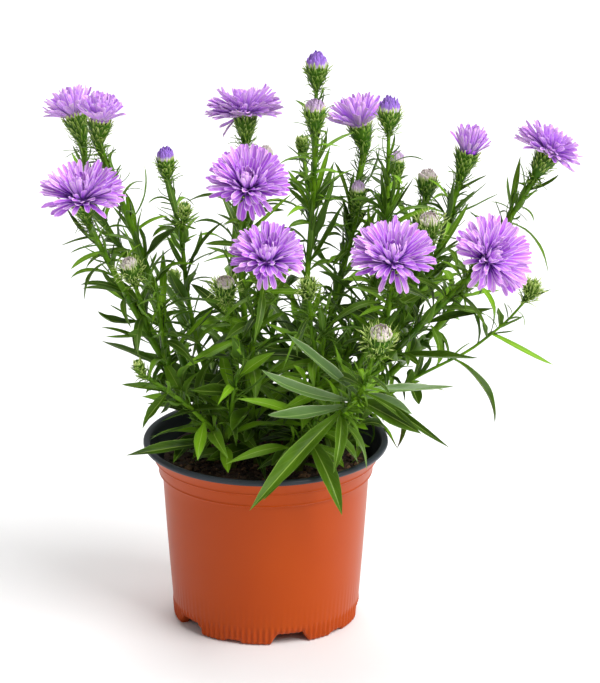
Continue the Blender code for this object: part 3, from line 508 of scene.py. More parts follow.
# The large leaves in the order in which they grow: the shoot, then each one's root, tip, width and arch
LARGE_LEAVES = tuple(Reach(shoot, *leaf) for shoot, leaves in (
    ("shoot_front", ((137, (8, -72, 168), 8.0, 0.35), (133, (-3, -84, 154), 8.0, -0.45),
        (130, (-1, -92, 140), 8.5, -0.6), (127, (-10, -86, 90), 9.0, 0.5), (135, (72, -88, 124), 8.5, 0.6),
        (138, (70, -60, 126), 9.0, 0.5), (141, (90, -54, 135), 6.5, 0.3), (140, (77, -88, 109), 4.0, 0.7),
        (124, (34, -86, 106), 6.0, 1.4))),
    ("shoot_low_front", ((106, (35, -71, 78), 8.5, 1.1), (101, (2, -69, 84), 7.5, 1.0),
        (96, (2, -55, 97), 6.0, 0.7))),
    ("shoot_right_mid", ((140, (102, -33, 142), 6.0, 0.5),)),
    ("shoot_low_right", ((137, (114, -26, 108), 5.0, 1.3),)),
    ("shoot_right_mid", ((158, (110, -30, 166), 4.5, 0.6),)),
    ("shoot_low_right", ((150, (138, -18, 133), 3.5, 0.3), (125, (75, -24, 117), 6.5, 0.6))),
    ("shoot_left_front", ((158, (-82, -24, 165), 4.5, -0.9), (150, (-77, -20, 149), 2.5, 0.4))),
    ("shoot_low_left", ((128, (-58, -40, 114), 5.0, 0.5), (130, (-69, -40, 132), 4.0, 0.5))),
    ("shoot_centre_front", ((118, (-38, -52, 132), 7.0, 0.6), (112, (-17, -52, 113), 8.5, 0.6))),
    ("shoot_low_left", ((98, (-67, -46, 98), 6.0, 0.5),)),
    ("shoot_left_front", ((98, (-44, -42, 93), 7.0, 0.6),)),
    ("shoot_centre_front", ((132, (-13, -48, 158), 7.5, 0.3),)),
    ("shoot_back_left", ((100, (-66, 58, 112), 7.0, 0.8), (96, (-30, 74, 104), 7.5, 0.9))),
    ("shoot_back", ((100, (-10, 86, 108), 7.5, 0.8), (104, (26, 84, 112), 7.0, 0.8))),
    ("shoot_back_low_right", ((98, (64, 66, 106), 7.5, 0.9), (104, (74, 46, 118), 6.5, 0.8))),
    ("shoot_low_right", ((148, (104, -20, 160), 4.0, 0.3), (157, (115, -18, 169), 2.5, 0.3),
        (166, (138, -16, 174), 2.2, 0.3), (127, (76, -14, 141), 3.5, 0.2), (123, (88, -22, 125), 2.5, 0.5))),
    ("shoot_centre_front", ((92, (-36, -34, 88), 7.0, 0.4),)),
    ("shoot_low_left", ((104, (-35, -40, 95), 6.0, 0.5), (110, (-55, -38, 104), 2.5, 0.8))),
    ("shoot_centre_front", ((102, (-10, -50, 105), 5.0, 0.3), (198, (-29, -24, 201), 3.0, 0.8))),
    ("shoot_left_front", ((196, (-94, -32, 192), 3.0, 0.3), (204, (-98, -30, 201), 2.5, 0.5),
        (174, (-89, -20, 181), 3.0, 0.8), (168, (-80, -14, 184), 3.0, -0.8))),
    ("shoot_left_back", ((185, (-42, -14, 205), 6.0, 0.5), (199, (-47, -12, 213), 3.5, 0.35),
        (172, (-42, -10, 186), 2.5, 0.1))),
    ("shoot_left_mid", ((178, (-48, -8, 196), 3.0, 0.9), (172, (-23, -6, 210), 2.5, 0.5),
        (169, (-25, -10, 178), 2.5, 1.2), (160, (-47, -16, 181), 6.0, 0.2))),
    ("shoot_top", ((188, (30, 2, 214), 5.5, 0.2), (178, (36, 0, 216), 4.5, 0.3), (206, (44, 6, 228), 3.0, 0.9),
        (203, (11, 10, 225), 3.5, 0.2), (198, (11, 6, 199), 3.0, 0.9))),
    ("shoot_back_right", ((194, (35, 22, 229), 3.0, 0.2),)),
    ("shoot_right_centre", ((198, (56, -3, 232), 4.0, 0.1), (196, (83, -4, 212), 3.5, 0.9),
        (203, (74, -2, 225), 2.5, 0.5))),
    ("shoot_right_back", ((186, (89, 4, 227), 4.5, 0.5), (183, (99, 8, 210), 3.2, 0.25),
        (200, (83, 4, 225), 3.0, 1.1), (213, (108, 12, 222), 2.5, 0.5))),
    ("shoot_far_right", ((203, (115, 4, 225), 3.0, 0.2), (213, (125, 4, 233), 2.5, 0.1),
        (216, (142, 2, 225), 2.5, -0.3))),
) for leaf in leaves)

# Buds with whitish petals, blooms and buds with pale mauve ones, and buds in a coat of bristles
PALE_BUDS = (
    "bud_front", "bud_right_mid", "bud_right_back", "bud_low_left", "bud_left_front", "bud_centre_back",
)
PALE_BLOOMS = ("bloom_centre_back", "bloom_far_right")
MAUVE_BUDS = ("bud_top_front", "bud_mid_right", "bud_right_small")
BRISTLY_BUDS = ("bud_front", "bud_right_mid", "bud_low_left", "bud_left_front")
BRISTLY_SIZE = 9


class Shell:
    """A closed surface in the making: its points, and its faces from ring to ring."""

    def __init__(self) -> None:
        """Start with no points and no faces."""
        self.points: Line = []
        self.faces: list[tuple[int, ...]] = []

    def add(self, points: Line) -> list[int]:
        """Add a ring of points and return their numbers."""
        self.points += points
        return list(range(len(self.points) - len(points), len(self.points)))

    def cap(self, ring: list[int], at_root: bool = False) -> None:
        """Close a ring with one face."""
        if len(ring) > 2:
            self.faces.append(tuple(reversed(ring)) if at_root else tuple(ring))

    def join(self, rings: Sequence[list[int]], split: bool = False) -> None:
        """Join each ring to the next one, or to a tip of one point.

        Args:
            rings: The numbers of the rings' points.
            split: Whether the sides are split into triangles.
        """
        for lower, upper in zip(rings, rings[1:]):
            count = len(lower)
            for k in range(count):
                m = (k + 1) % count
                if len(upper) == 1:
                    self.faces.append((lower[k], lower[m], upper[0]))
                elif split:
                    self.faces += [(lower[k], lower[m], upper[m]), (lower[k], upper[m], upper[k])]
                else:
                    self.faces.append((lower[k], lower[m], upper[m], upper[k]))

    def close(self, rings: Sequence[list[int]], split: bool = False) -> None:
        """Join rings and close both ends, where they aren't tips.

        Args:
            rings: The numbers of the rings' points.
            split: Whether the sides are split into triangles.
        """
        self.cap(rings[0], at_root=True)
        self.join(rings, split)
        self.cap(rings[-1])


class PlainShell(Shell):
    """A plain closed shell that tells where a piece is."""

    @classmethod
    def loft(cls, rings: list[Line], split: bool = False) -> PlainShell:
        """Make a shell from rings of points.

        Args:
            rings: The rings.
            split: Whether the sides are split into triangles.

        Returns:
            The shell.
        """
        shell = cls()
        shell.close([shell.add(points) for points in rings], split)
        return shell

    @classmethod
    def of_node(cls, name: str) -> PlainShell:
        """Take up a node of the frame.

        Args:
            name: The node's name.

        Returns:
            Its shell.
        """
        shell = cls()
        shell.points = [v.co.copy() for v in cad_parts[name].data.vertices]
        shell.faces = [tuple(p.vertices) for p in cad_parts[name].data.polygons]
        return shell

    @classmethod
    def of_leaf(cls, blade: Blade, margin: float = 0.0) -> PlainShell:
        """Make the plain shell of a leaf or bract: a keeled strap.

        Args:
            blade: The blade.
            margin: How much larger than the blade the shell is.

        Returns:
            The shell.
        """
        outline, thickness = PLAIN_LEAVES[blade.form]
        side = blade.upper.cross(blade.along)
        rings = []
        for share, breadth in outline:
            middle, face = blade.at(share)
            half = side * (blade.width * breadth + margin) / 2
            keel = middle - face * (thickness * MM * breadth + margin / 2)
            top = middle + face * margin / 2
            rings.append([keel, top + half, top - half] if breadth else [middle + blade.along * margin])
        return cls.loft(rings)

    @classmethod
    def of_stem(cls, twig: Twig) -> PlainShell:
        """Make the plain shell of a twig's stem with the green cup of its head.

        Args:
            twig: The twig.

        Returns:
            The shell.
        """
        points, radii = twig.stem()
        if twig.head:
            radius, length = twig.head.cup
            mouth = PLAIN_BUD_TOP if twig.head.kind is Kind.GREEN else PLAIN_MOUTH
            for breadth, height in (*PLAIN_CUP, mouth):
                points.append(twig.cup_base + twig.head.ahead * length * height)
                radii.append(radius * breadth)
        else:
            radii[-1] = 0.0
        return cls.loft(rings_along(points, radii, PLAIN_SIDES), split=True)

    def bounds(self) -> tuple[list[float], list[float]]:
        """The lowest and highest corner."""
        axes = list(zip(*self.points))
        return [min(axis) for axis in axes], [max(axis) for axis in axes]

    def tree(self) -> BVHTree:
        """The faces in a form that can be tested for overlap."""
        return BVHTree.FromPolygons(self.points, self.faces)


# Plain leaves: their outline as (share of length, share of width), and their thickness in millimetres
PLAIN_LEAVES = {
    Form.LARGE: (((0.0, 0.3), (0.3, 0.9), (0.64, 0.9), (1.0, 0.0)), 1.5),
    Form.LEAF: (((0.0, 0.4), (0.45, 1.0), (1.0, 0.0)), 1.3),
    Form.LINEAR: (((0.0, 0.75), (0.45, 1.0), (1.0, 0.0)), 1.0),
    Form.SHORT: (((0.0, 1.0), (1.0, 0.0)), 0.9),
}

# Plain stems and cups: the sides of a stem, and the rings of a cup as (share of its radius, share of its length)
PLAIN_SIDES = 5
PLAIN_CUP = ((0.66, 0.45), (1.1, 0.88))
PLAIN_MOUTH = (0.9, 1.0)
PLAIN_BUD_TOP = (0.0, 1.5)

# How far from the pot's axis the leaves reach, as (below this height, radius) in millimetres
SPREAD = ((115, 64), (140, 72), (165, 86))

# How far the tip of a large leaf may move, in millimetres, to keep it clear of other pieces
TIP_SHIFTS = (
    (0, 0, 0), (0, 0, 3), (0, 0, -3), (3, 0, 0), (-3, 0, 0), (0, 0, 6), (0, -5, 3), (0, -5, -4), (5, -3, 5),
    (-5, -3, 5), (0, -8, 0), (6, 0, -5), (-6, 0, -5), (0, 5, 6), (0, 6, 0), (8, 0, 8), (-8, 0, 8),
)


def within_spread(blade: Blade) -> bool:
    """Whether a leaf ends as near to the pot's axis as low leaves do."""
    tip = blade.at(1.0)[0] / MM
    return all(tip.z > height or math.hypot(tip.x, tip.y) < radius for height, radius in SPREAD)


@dataclass
class Growth:
    """Grows the leaves that the solids have, and keeps all leaves clear of what is there.

    What isn't multiplied by MM is in millimetres, a tilt is in degrees and a turn in radians.
    """

    zones: tuple[Zone, ...] = (
        Zone(165, 15.5, (18, 28), (2.5, 3.5), (38, 62), (0.35, 0.95), Form.LINEAR),
        Zone(130, 15.5, (28, 40), (4.6, 6.2), (38, 62), (0.35, 0.95)),
        Zone(0, 15.5, (36, 50), (6.0, 8.0), (38, 62), (0.35, 0.95)),
    )
    end_leaves: Zone = Zone(0, 15.5, (9, 15), (1.6, 2.2), (38, 62), (0.35, 0.95), Form.SHORT)
    end_span: float = 30 * MM
    lowest: float = 95.0 * MM
    start: float = 5 * MM
    turns: tuple[float, ...] = (0, 0.5, -0.5, 1.0, -1.0, 1.6, -1.6)
    shrink: float = 0.06
    margin: float = 0.8 * MM
    root_reach: float = 6.5 * MM
    narrow: float = 4.0
    light_lean: float = 0.5
    bracts_each: int = 4
    bract_reach: Pair = (3.4, 4.8)
    bract_width: float = 1.6
    bract_tilt: Pair = (10, 30)
    bract_root: Pair = (0.45, 0.75)

    def __post_init__(self) -> None:
        """Start with the pot, the soil, the stems and the heads that the frame holds."""
        self.leaves: dict[str, list[Blade]] = {node: [] for node in SHOOTS}
        self.bracts: dict[str, list[Blade]] = {node: [] for node in SHOOTS}
        self.obstacles: list[tuple] = []
        self.draw = random.Random(11)
        low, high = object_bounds()
        self.low = [v + 1.0 * MM for v in low]
        self.high = [v - 1.0 * MM for v in high]
        self.stalks = [(node, twig) for node, twigs in SHOOTS.items() for twig in twigs]
        for name in ("pot", "soil"):
            self.stand_clear_of(name, PlainShell.of_node(name))
        for node, twig in self.stalks:
            self.stand_clear_of(node, PlainShell.of_stem(twig))
        for _, twig in self.stalks:
            if twig.head and twig.head.node:
                self.stand_clear_of(twig.head.node, PlainShell.of_node(twig.head.node))

    def stand_clear_of(self, node: str, shell: PlainShell) -> None:
        """Note a shell as something that other nodes keep clear of."""
        self.obstacles.append((node, *shell.bounds(), shell.tree()))

    def meets(self, shell: PlainShell, node: str, own: bool) -> bool:
        """Tell whether a shell meets its own node, or any other node.

        Args:
            shell: The shell to test.
            node: The node that it belongs to.
            own: True to test against its own node, False against the others.

        Returns:
            True where they meet.
        """
        low, high = shell.bounds()
        near = [o for o in self.obstacles if (o[0] == node) == own]
        near = [o for o in near if all(low[i] <= o[2][i] and high[i] >= o[1][i] for i in range(3))]
        if not near:
            return False
        tested = shell.tree()
        return any(tested.overlap(other[3]) for other in near)

    def keep(self, node: str, blade: Blade, kept: dict[str, list[Blade]]) -> None:
        """Add a blade to a node."""
        kept[node].append(blade)
        self.stand_clear_of(node, PlainShell.of_leaf(blade))

    def try_leaf(self, node: str, blade: Blade, kept: dict[str, list[Blade]]) -> bool:
        """Add a blade to a node if it keeps clear of the other nodes and of its own node's leaves.

        Args:
            node: The shoot that it grows on.
            blade: The blade.
            kept: Where it is kept.

        Returns:
            Whether it was added.
        """
        if self.meets(PlainShell.of_leaf(blade, self.margin), node, own=False):
            return False
        if blade.form is not Form.SHORT:
            near = 0.3 if blade.form is Form.LARGE else min(0.5, self.root_reach / blade.length)
            start, face = blade.at(near)
            ahead = (blade.at(near + 0.01)[0] - start).normalized()
            rest = 1.0 - near
            outer = replace(
                blade, root=start, along=ahead, upper=face, length=blade.length * rest, bend=blade.bend * rest,
            )
            if self.meets(PlainShell.of_leaf(outer), node, own=True):
                return False
        self.keep(node, blade, kept)
        return True

    def grow(self) -> None:
        """Grow the large leaves, the bracts and the other leaves of the solids."""
        for reach in LARGE_LEAVES:
            self.add_large_leaf(reach)
        for node, twig in self.stalks:
            if twig.head and twig.head.bud and twig.head.size >= BRISTLY_SIZE:
                self.add_bracts(node, twig)
        for node, twig in self.stalks:
            self.add_leaves(node, twig)

    def add_large_leaf(self, reach: Reach) -> None:
        """Grow one of the large leaves from its stem to its tip.

        Args:
            reach: The leaf's ends, width and arch.
        """
        line = SHOOTS[reach.shoot][0].line
        index = next(i for i, p in enumerate(line) if p.z >= reach.height * MM) - 1
        share = (reach.height * MM - line[index].z) / (line[index + 1].z - line[index].z)
        root = line[index].lerp(line[index + 1], share)
        sky = UP + (Vector((root.x, root.y, 0.0)).normalized() - BACK) * self.light_lean
        form = Form.LARGE if reach.width >= self.narrow else Form.LINEAR
        for shift in TIP_SHIFTS:
            chord = place(reach.tip) + place(shift) - root
            direct = chord.normalized()
            half = reach.arch / 2
            along, upper = turn_both(direct, (sky - direct * direct.dot(sky)).normalized(), half)
            length = chord.length * half / math.sin(half)
            blade = Blade(root, along, upper, length, reach.width * MM, reach.arch, form)
            if self.try_leaf(reach.shoot, blade, self.leaves):
                return

    def add_bracts(self, node: str, twig: Twig) -> None:
        """Add the pointed bracts that stand off a bud's green cup.

        Args:
            node: The shoot that the twig is part of.
            twig: The twig.
        """
        facing = twig.head.ahead
        radius, length = twig.head.cup
        inset = radius * 0.45
        for k in range(self.bracts_each):
            outward = around(facing, FULL_TURN * k / self.bracts_each + self.draw.uniform(-0.2, 0.2))
            along, upper = turn_both(outward, facing, math.radians(self.draw.uniform(*self.bract_tilt)))
            root = twig.cup_base + facing * length * self.draw.uniform(*self.bract_root) + outward * inset
            reach = inset + self.draw.uniform(*self.bract_reach) * MM
            blade = Blade(root, along, upper, reach, self.bract_width * MM, 0.0, Form.SHORT)
            self.try_leaf(node, blade, self.bracts)

    def add_leaves(self, node: str, twig: Twig) -> None:
        """Add the leaves of a twig, turning round it by the golden angle.

        Args:
            node: The shoot that the twig is part of.
            twig: The twig.
        """
        line = twig.line
        total = length_of(line)
        turn = self.draw.uniform(0, FULL_TURN)
        travelled = self.start
        while travelled < total:
            point, ahead = spot_on(line, travelled)
            near_end = total - travelled < self.end_span
            zone = self.end_leaves if near_end else next(z for z in self.zones if point.z > z.low * MM)
            size = zone.size(self.draw)
            travelled += zone.step * MM * self.draw.uniform(0.8, 1.2)
            turn += GOLDEN_TURN
            if point.z > self.lowest:
                self.add_leaf(Spot(node, point, ahead, turn), zone, size)

    def add_leaf(self, spot: Spot, zone: Zone, size: Pair) -> None:
        """Grow one leaf, turned or shortened where it would meet another.

        Args:
            spot: Where it grows.
            zone: What kind of leaf it is.
            size: Its length and width in metres.
        """
        for attempt, sway in enumerate(self.turns):
            lean, bend = self.draw.uniform(*zone.leans), self.draw.uniform(*zone.bends)
            blade = spot.blade(sway, lean, size[0] * (1 - self.shrink * attempt), size[1], bend, zone.form)
            if within_spread(blade) and self.try_leaf(spot.node, blade, self.leaves):
                return


@dataclass
class Thicket:
    """The leaves that fill the plant between those of the solids.

    A twig stays bare below its head, and there are no young leaves above axil_top.
    """

    growth: Growth
    low: float = 86.0 * MM
    bare: float = 14.0 * MM
    axil_top: float = 205.0 * MM
    tuft: tuple[int, int] = (1, 3)
    zones: tuple[Zone, ...] = (
        Zone(208, 3.0, (10, 21), (1.3, 2.5), (16, 68), (-1.3, 1.9), Form.LINEAR),
        Zone(172, 3.2, (16, 34), (2.2, 4.2), (12, 60), (-1.0, 1.9)),
        Zone(140, 4.0, (18, 38), (3.0, 5.6), (20, 74), (-0.5, 1.7)),
        Zone(0, 4.4, (22, 46), (4.0, 7.2), (26, 84), (-0.2, 1.8)),
    )
    young: Zone = Zone(0, 0.0, (7, 20), (1.3, 2.8), (14, 40), (-0.5, 0.8), Form.LINEAR)
    tries: int = 4
    try_turn: float = 0.9
    shrink: float = 0.16
    short: float = 17 * MM
    thin: dict[str, float] = field(default_factory=lambda: {
        "shoot_left_front": 1.4, "shoot_left_back": 1.45, "shoot_left_mid": 1.3, "shoot_top": 0.75,
        "shoot_back_right": 0.55, "shoot_right_centre": 0.55, "shoot_right_back": 0.75, "shoot_low_right": 1.8,
    })
    added: int = 0
    draw: random.Random = field(default_factory=lambda: random.Random(29))

    def fill(self) -> None:
        """Add leaves along every stem, and young leaves in the axils."""
        for node, twig in self.growth.stalks:
            self.fill_twig(node, twig)

    def fill_twig(self, node: str, twig: Twig) -> None:
        """Add the fine leaves of one twig.

        Args:
            node: The shoot that the twig is part of.
            twig: The twig.
        """
        line = twig.line
        total = length_of(line) - self.bare
        turn = self.draw.uniform(0, FULL_TURN)
        travelled = self.draw.uniform(0, 4 * MM)
        while travelled < total:
            point, ahead = spot_on(line, travelled)
            zone = next(z for z in self.zones if point.z > z.low * MM)
            travelled += zone.step * MM * self.draw.uniform(0.7, 1.3) * self.thin.get(node, 1.0)
            turn += GOLDEN_TURN
            if point.z < self.low:
                continue
            self.try_turns(Spot(node, point, ahead, turn), zone, self.tries)
            if point.z < self.axil_top:
                for _ in range(self.draw.randint(*self.tuft) - 1):
                    beside = Spot(node, point, ahead, turn + self.draw.uniform(-0.6, 0.6))
                    self.try_turns(beside, self.young, 1)

    def try_turns(self, spot: Spot, zone: Zone, tries: int) -> None:
        """Try one leaf at a few turns round the stem, and keep the first that fits.

        Args:
            spot: Where it grows.
            zone: What kind of leaf it is.
            tries: How many turns are tried.
        """
        length, width = zone.size(self.draw)
        for attempt in range(tries):
            lean, bend = self.draw.uniform(*zone.leans), zone.strong_bend(self.draw)
            size = length * (1 - self.shrink * attempt)
            blade = spot.blade(attempt * self.try_turn, lean, size, width, bend, zone.form)
            if self.fits(blade) and not self.growth.meets(PlainShell.of_leaf(blade), spot.node, own=False):
                self.growth.keep(spot.node, blade, self.growth.leaves)
                self.added += 1
                return

    def fits(self, blade: Blade) -> bool:
        """Tell whether a blade stays inside the solids' box and as near to the axis as low leaves do.

        Args:
            blade: The blade.

        Returns:
            True where it does.
        """
        places = [blade.at(share)[0] for share in (0.5, 0.8, 1.0)]
        return (blade.length < self.short or within_spread(blade)) and all(
            low <= value <= high for p in places for low, value, high in zip(self.growth.low, p, self.growth.high)
        )


class Surface(Shell):
    """One mesh in the making: points with their marks, and faces with their finish.

    The marks are how far across and along its blade a point lies, the blade's own tint, and whether the
    point is on the under side.
    """

    MARKS = ("across", "along", "tint", "under")

    def __init__(self) -> None:
        """Start with no points and no faces."""
        super().__init__()
        self.marks: Marks = []
        self.slots: list[int] = []

    def ring(self, points: Line, marks: Marks) -> list[int]:
        """Add a ring of points with their marks, and return their numbers."""
        self.marks += marks
        return self.add(points)

    def dress(self, slot: int) -> None:
        """Give the faces that were added last their finish."""
        self.slots += [slot] * (len(self.faces) - len(self.slots))

    def tube(self, points: Line, radii: list[float], sides: int, slot: int, tint: float) -> None:
        """Add a closed round tube along a line.

        Args:
            points: The line.
            radii: The radius at each point; 0 is a tip.
            sides: How many sides it has.
            slot: Its finish.
            tint: Its tint.
        """
        last = len(points) - 1
        rings = []
        for index, ring in enumerate(rings_along(points, radii, sides)):
            rings.append(self.ring(ring, [(k / sides, index / last, tint, 0.0) for k in range(len(ring))]))
        self.close(rings)
        self.dress(slot)

    def piece(self, name: str, finishes: Sequence[Material], sharp: float = 60.0) -> Object:
        """Make the mesh into an object.

        Args:
            name: The object's name.
            finishes: The materials, in the order of the faces' slots.
            sharp: The angle in degrees above which an edge is shaded sharp.

        Returns:
            The new object, linked to the scene.
        """
        mesh = bpy.data.meshes.new(name)
        mesh.from_pydata([tuple(p) for p in self.points], [], self.faces)
        for finish in finishes:
            mesh.materials.append(finish)
        mesh.polygons.foreach_set("material_index", self.slots)
        for index, mark in enumerate(self.MARKS):
            attribute = mesh.attributes.new(mark, "FLOAT", "POINT")
            attribute.data.foreach_set("value", [marks[index] for marks in self.marks])
        mesh.shade_smooth()
        mesh.set_sharp_from_angle(angle=math.radians(sharp))
        mesh.update()
        shape = bpy.data.objects.new(name, mesh)
        bpy.context.scene.collection.objects.link(shape)
        return shape


@dataclass(frozen=True)
class BladeShape:
    """How a kind of blade is made.

    The outline is (share of length, share of width). The fold, ripple and notch are shares of the half
    width, the sway and curl shares of the length. A strongly bent blade curls the other way.
    """

    outline: tuple[Pair, ...]
    rings: int
    columns: int
    thickness: float = 0.35
    fold: float = 0.2
    ripple: float = 0.0
    twist: float = 0.3
    sway: float = 0.05
    curl: Pair = (0.0, 0.0)
    blunt: bool = False
    notch: Pair = (-0.5, 0.35)
    waves: Pair = (1.4, 2.6)
    strong_bend: float = 1.0

    def section(self) -> list[Pair]:
        """The points round the blade, as (place across from 1 to -1, whether it is on the under side)."""
        top = [1 - 2 / (self.columns + 1) * (k + 1) for k in range(self.columns)]
        return [(1.0, 0.5)] + [(u, 0.0) for u in top] + [(-1.0, 0.5)] + [(u, 1.0) for u in reversed(top)]

    def sweep(self, surface: Surface, blade: Blade, slot: int, draw: random.Random, tint: float) -> None:
        """Add a blade to a surface.

        Args:
            surface: The surface that it becomes part of.
            blade: The blade's arc.
            slot: Its finish.
            draw: The source of chance.
            tint: Its own shade, from 0 to 1.
        """
        side = blade.upper.cross(blade.along)
        twist = draw.uniform(-self.twist, self.twist)
        sway = draw.uniform(-self.sway, self.sway) * blade.length
        curl = draw.uniform(*self.curl) * blade.length * (-1 if blade.bend > self.strong_bend else 1)
        notch = draw.uniform(*self.notch)
        phase = draw.uniform(0, FULL_TURN)
        waves = draw.uniform(*self.waves)
        rings = []
        for step in range(self.rings + 1):
            share = step / self.rings
            middle, face = blade.at(share)
            middle = middle + side * sway * share * share + face * curl * share ** 4
            turned, above = turn_both(side, face, twist * share)
            half = blade.width * value_at(self.outline, share) / 2
            if half == 0.0:
                rings.append(surface.ring([middle], [(0.5, share, tint, 0.5)]))
                continue
            points, marks = [], []
            for u, under in self.section():
                lift = self.fold * half * (0.45 * abs(u) + 0.55 * u * u - 0.5)
                lift += self.ripple * half * math.sin(waves * FULL_TURN * share + phase + 1.3 * u) * abs(u)
                point = middle + turned * (u * half) + above * (lift - self.thickness * MM * under)
                if self.blunt and step == self.rings:
                    point = point + blade.along * half * (notch * (1 - 2 * abs(u)) - 0.45 * u * u)
                points.append(point)
                marks.append(((u + 1) / 2, share, tint, under))
            rings.append(surface.ring(points, marks))
        surface.cap(rings[0], at_root=True)
        surface.join(rings)
        if len(rings[-1]) > 1:
            self.close_tip(surface, rings[-1])
        surface.dress(slot)

    def close_tip(self, surface: Surface, ring: list[int]) -> None:
        """Close a blunt tip with a strip of faces between its upper and under side.

        Args:
            surface: The surface that the blade is part of.
            ring: The numbers of the tip's points.
        """
        count = len(ring)
        for k in range(self.columns + 1):
            face = [ring[k], ring[k + 1], ring[(count - k - 1) % count], ring[-k % count]]
            face = [v for i, v in enumerate(face) if v not in face[:i]]
            if len(face) > 2:
                surface.faces.append(tuple(face))


BLADE_SHAPES = {
    Form.LARGE: BladeShape(
        ((0.0, 0.24), (0.08, 0.3), (0.2, 0.6), (0.34, 0.9), (0.48, 1.0), (0.62, 0.96), (0.76, 0.74), (0.88, 0.4),
         (0.96, 0.12), (1.0, 0.0)),
        16, 5, 0.4, fold=0.75, ripple=0.14, twist=0.7, sway=0.08, curl=(0.02, 0.13),
    ),
    Form.LEAF: BladeShape(
        ((0.0, 0.3), (0.1, 0.36), (0.25, 0.7), (0.42, 0.98), (0.58, 0.97), (0.74, 0.72), (0.88, 0.36), (1.0, 0.0)),
        10, 3, fold=0.4, ripple=0.14, twist=1.2, sway=0.13, curl=(-0.14, 0.14),
    ),
    Form.LINEAR: BladeShape(
        ((0.0, 0.6), (0.2, 0.85), (0.45, 1.0), (0.75, 0.75), (0.92, 0.35), (1.0, 0.0)),
        8, 1, fold=0.3, twist=1.0, sway=0.14, curl=(-0.14, 0.14),
    ),
    Form.SHORT: BladeShape(((0.0, 0.9), (0.4, 0.8), (0.8, 0.4), (1.0, 0.0)), 5, 1, twist=0.4, sway=0.12),
    Form.PETAL: BladeShape(
        ((0.0, 0.42), (0.2, 0.6), (0.45, 0.86), (0.7, 1.0), (0.88, 0.95), (0.96, 0.78), (1.0, 0.52)),
        8, 3, 0.25, fold=0.5, ripple=0.1, twist=0.6, sway=0.09, curl=(-0.1, 0.1), blunt=True,
    ),
    Form.BUD_PETAL: BladeShape(
        ((0.0, 0.8), (0.3, 0.95), (0.6, 1.0), (0.82, 0.8), (0.94, 0.5), (1.0, 0.26)),
        7, 3, 0.25, fold=0.4, ripple=0.12, sway=0.1, curl=(-0.1, 0.05), blunt=True,
    ),
}


class Bench:
    """A node tree being laid out, with short ways to add nodes and join them."""

    def __init__(self, tree: NodeTree) -> None:
        """Take up a node tree."""
        self.tree = tree

    def add(self, kind: str, **settings: object) -> bpy.types.Node:
        """Add a node and set its properties.

        Args:
            kind: The node's type.
            settings: Its properties by name.

        Returns:
            The node.
        """
        node = self.tree.nodes.new(kind)
        for name, value in settings.items():
            setattr(node, name, value)
        return node

    def feed(self, socket: Socket, value: object) -> None:
        """Give a socket a value, or join it to another socket.

        Args:
            socket: The socket.
            value: The value, or the socket that feeds it.
        """
        if isinstance(value, Socket):
            self.tree.links.new(value, socket)
        else:
            socket.default_value = value

    def math(self, operation: str, *values: object, clamp: bool = False) -> Socket:
        """Add a math node.

        Args:
            operation: What it does.
            values: What goes into it.
            clamp: Whether the result stays between 0 and 1.

        Returns:
            What comes out of it.
        """
        node = self.add("ShaderNodeMath", operation=operation, use_clamp=clamp)
        for socket, value in zip(node.inputs, values):
            self.feed(socket, value)
        return node.outputs[0]

    def times(self, first: object, second: object) -> Socket:
        """The product of two values."""
        return self.math("MULTIPLY", first, second)

    def mix(self, factor: object, first: object, second: object) -> Socket:
        """Mix two colours.

        Args:
            factor: How much of the second colour shows.
            first: The first colour.
            second: The second colour.

        Returns:
            The mixed colour.
        """
        node = self.add("ShaderNodeMix", data_type="RGBA")
        for index, value in ((0, factor), (6, first), (7, second)):
            self.feed(node.inputs[index], value)
        return node.outputs[2]

    def span(self, value: object, low: object, high: object, start: float = 0.0, end: float = 1.0) -> Socket:
        """Map a value from one range to another with soft ends.

        Args:
            value: The value.
            low: Where the range starts.
            high: Where it ends.
            start: What it becomes at the start.
            end: What it becomes at the end.

        Returns:
            The mapped value.
        """
        node = self.add("ShaderNodeMapRange", interpolation_type="SMOOTHSTEP")
        for socket, number in zip(node.inputs, (value, low, high, start, end)):
            self.feed(socket, number)
        return node.outputs[0]

    def mark(self, name: str) -> Socket:
        """Read one of the marks that the mesh carries."""
        return self.add("ShaderNodeAttribute", attribute_name=name).outputs["Fac"]

    def noise(self, scale: object, detail: float) -> Socket:
        """Add noise through space.

        Args:
            scale: How fine it is.
            detail: How many finer layers it has.

        Returns:
            Its strength, from about 0 to 1.
        """
        cloud = self.add("ShaderNodeTexNoise")
        self.feed(cloud.inputs["Vector"], self.add("ShaderNodeTexCoord").outputs["Object"])
        self.feed(cloud.inputs["Scale"], scale)
        self.feed(cloud.inputs["Detail"], detail)
        return cloud.outputs["Fac"]


def group(name: str, inputs: dict[str, float], outputs: Sequence[str]) -> tuple:
    """Open a new shader node group, an effect that several finishes share.

    Args:
        name: The group's name.
        inputs: Each input's name and its usual value.
        outputs: The outputs' names.

    Returns:
        Its node tree, the bench to lay it out, what comes in by name, and what goes out by name.
    """
    tree = bpy.data.node_groups.new(name, "ShaderNodeTree")
    for label, value in inputs.items():
        socket = tree.interface.new_socket(label, in_out="INPUT", socket_type="NodeSocketFloat")
        socket.default_value = value
    for label in outputs:
        tree.interface.new_socket(label, in_out="OUTPUT", socket_type="NodeSocketFloat")
    bench = Bench(tree)
    return tree, bench, bench.add("NodeGroupInput").outputs, bench.add("NodeGroupOutput").inputs


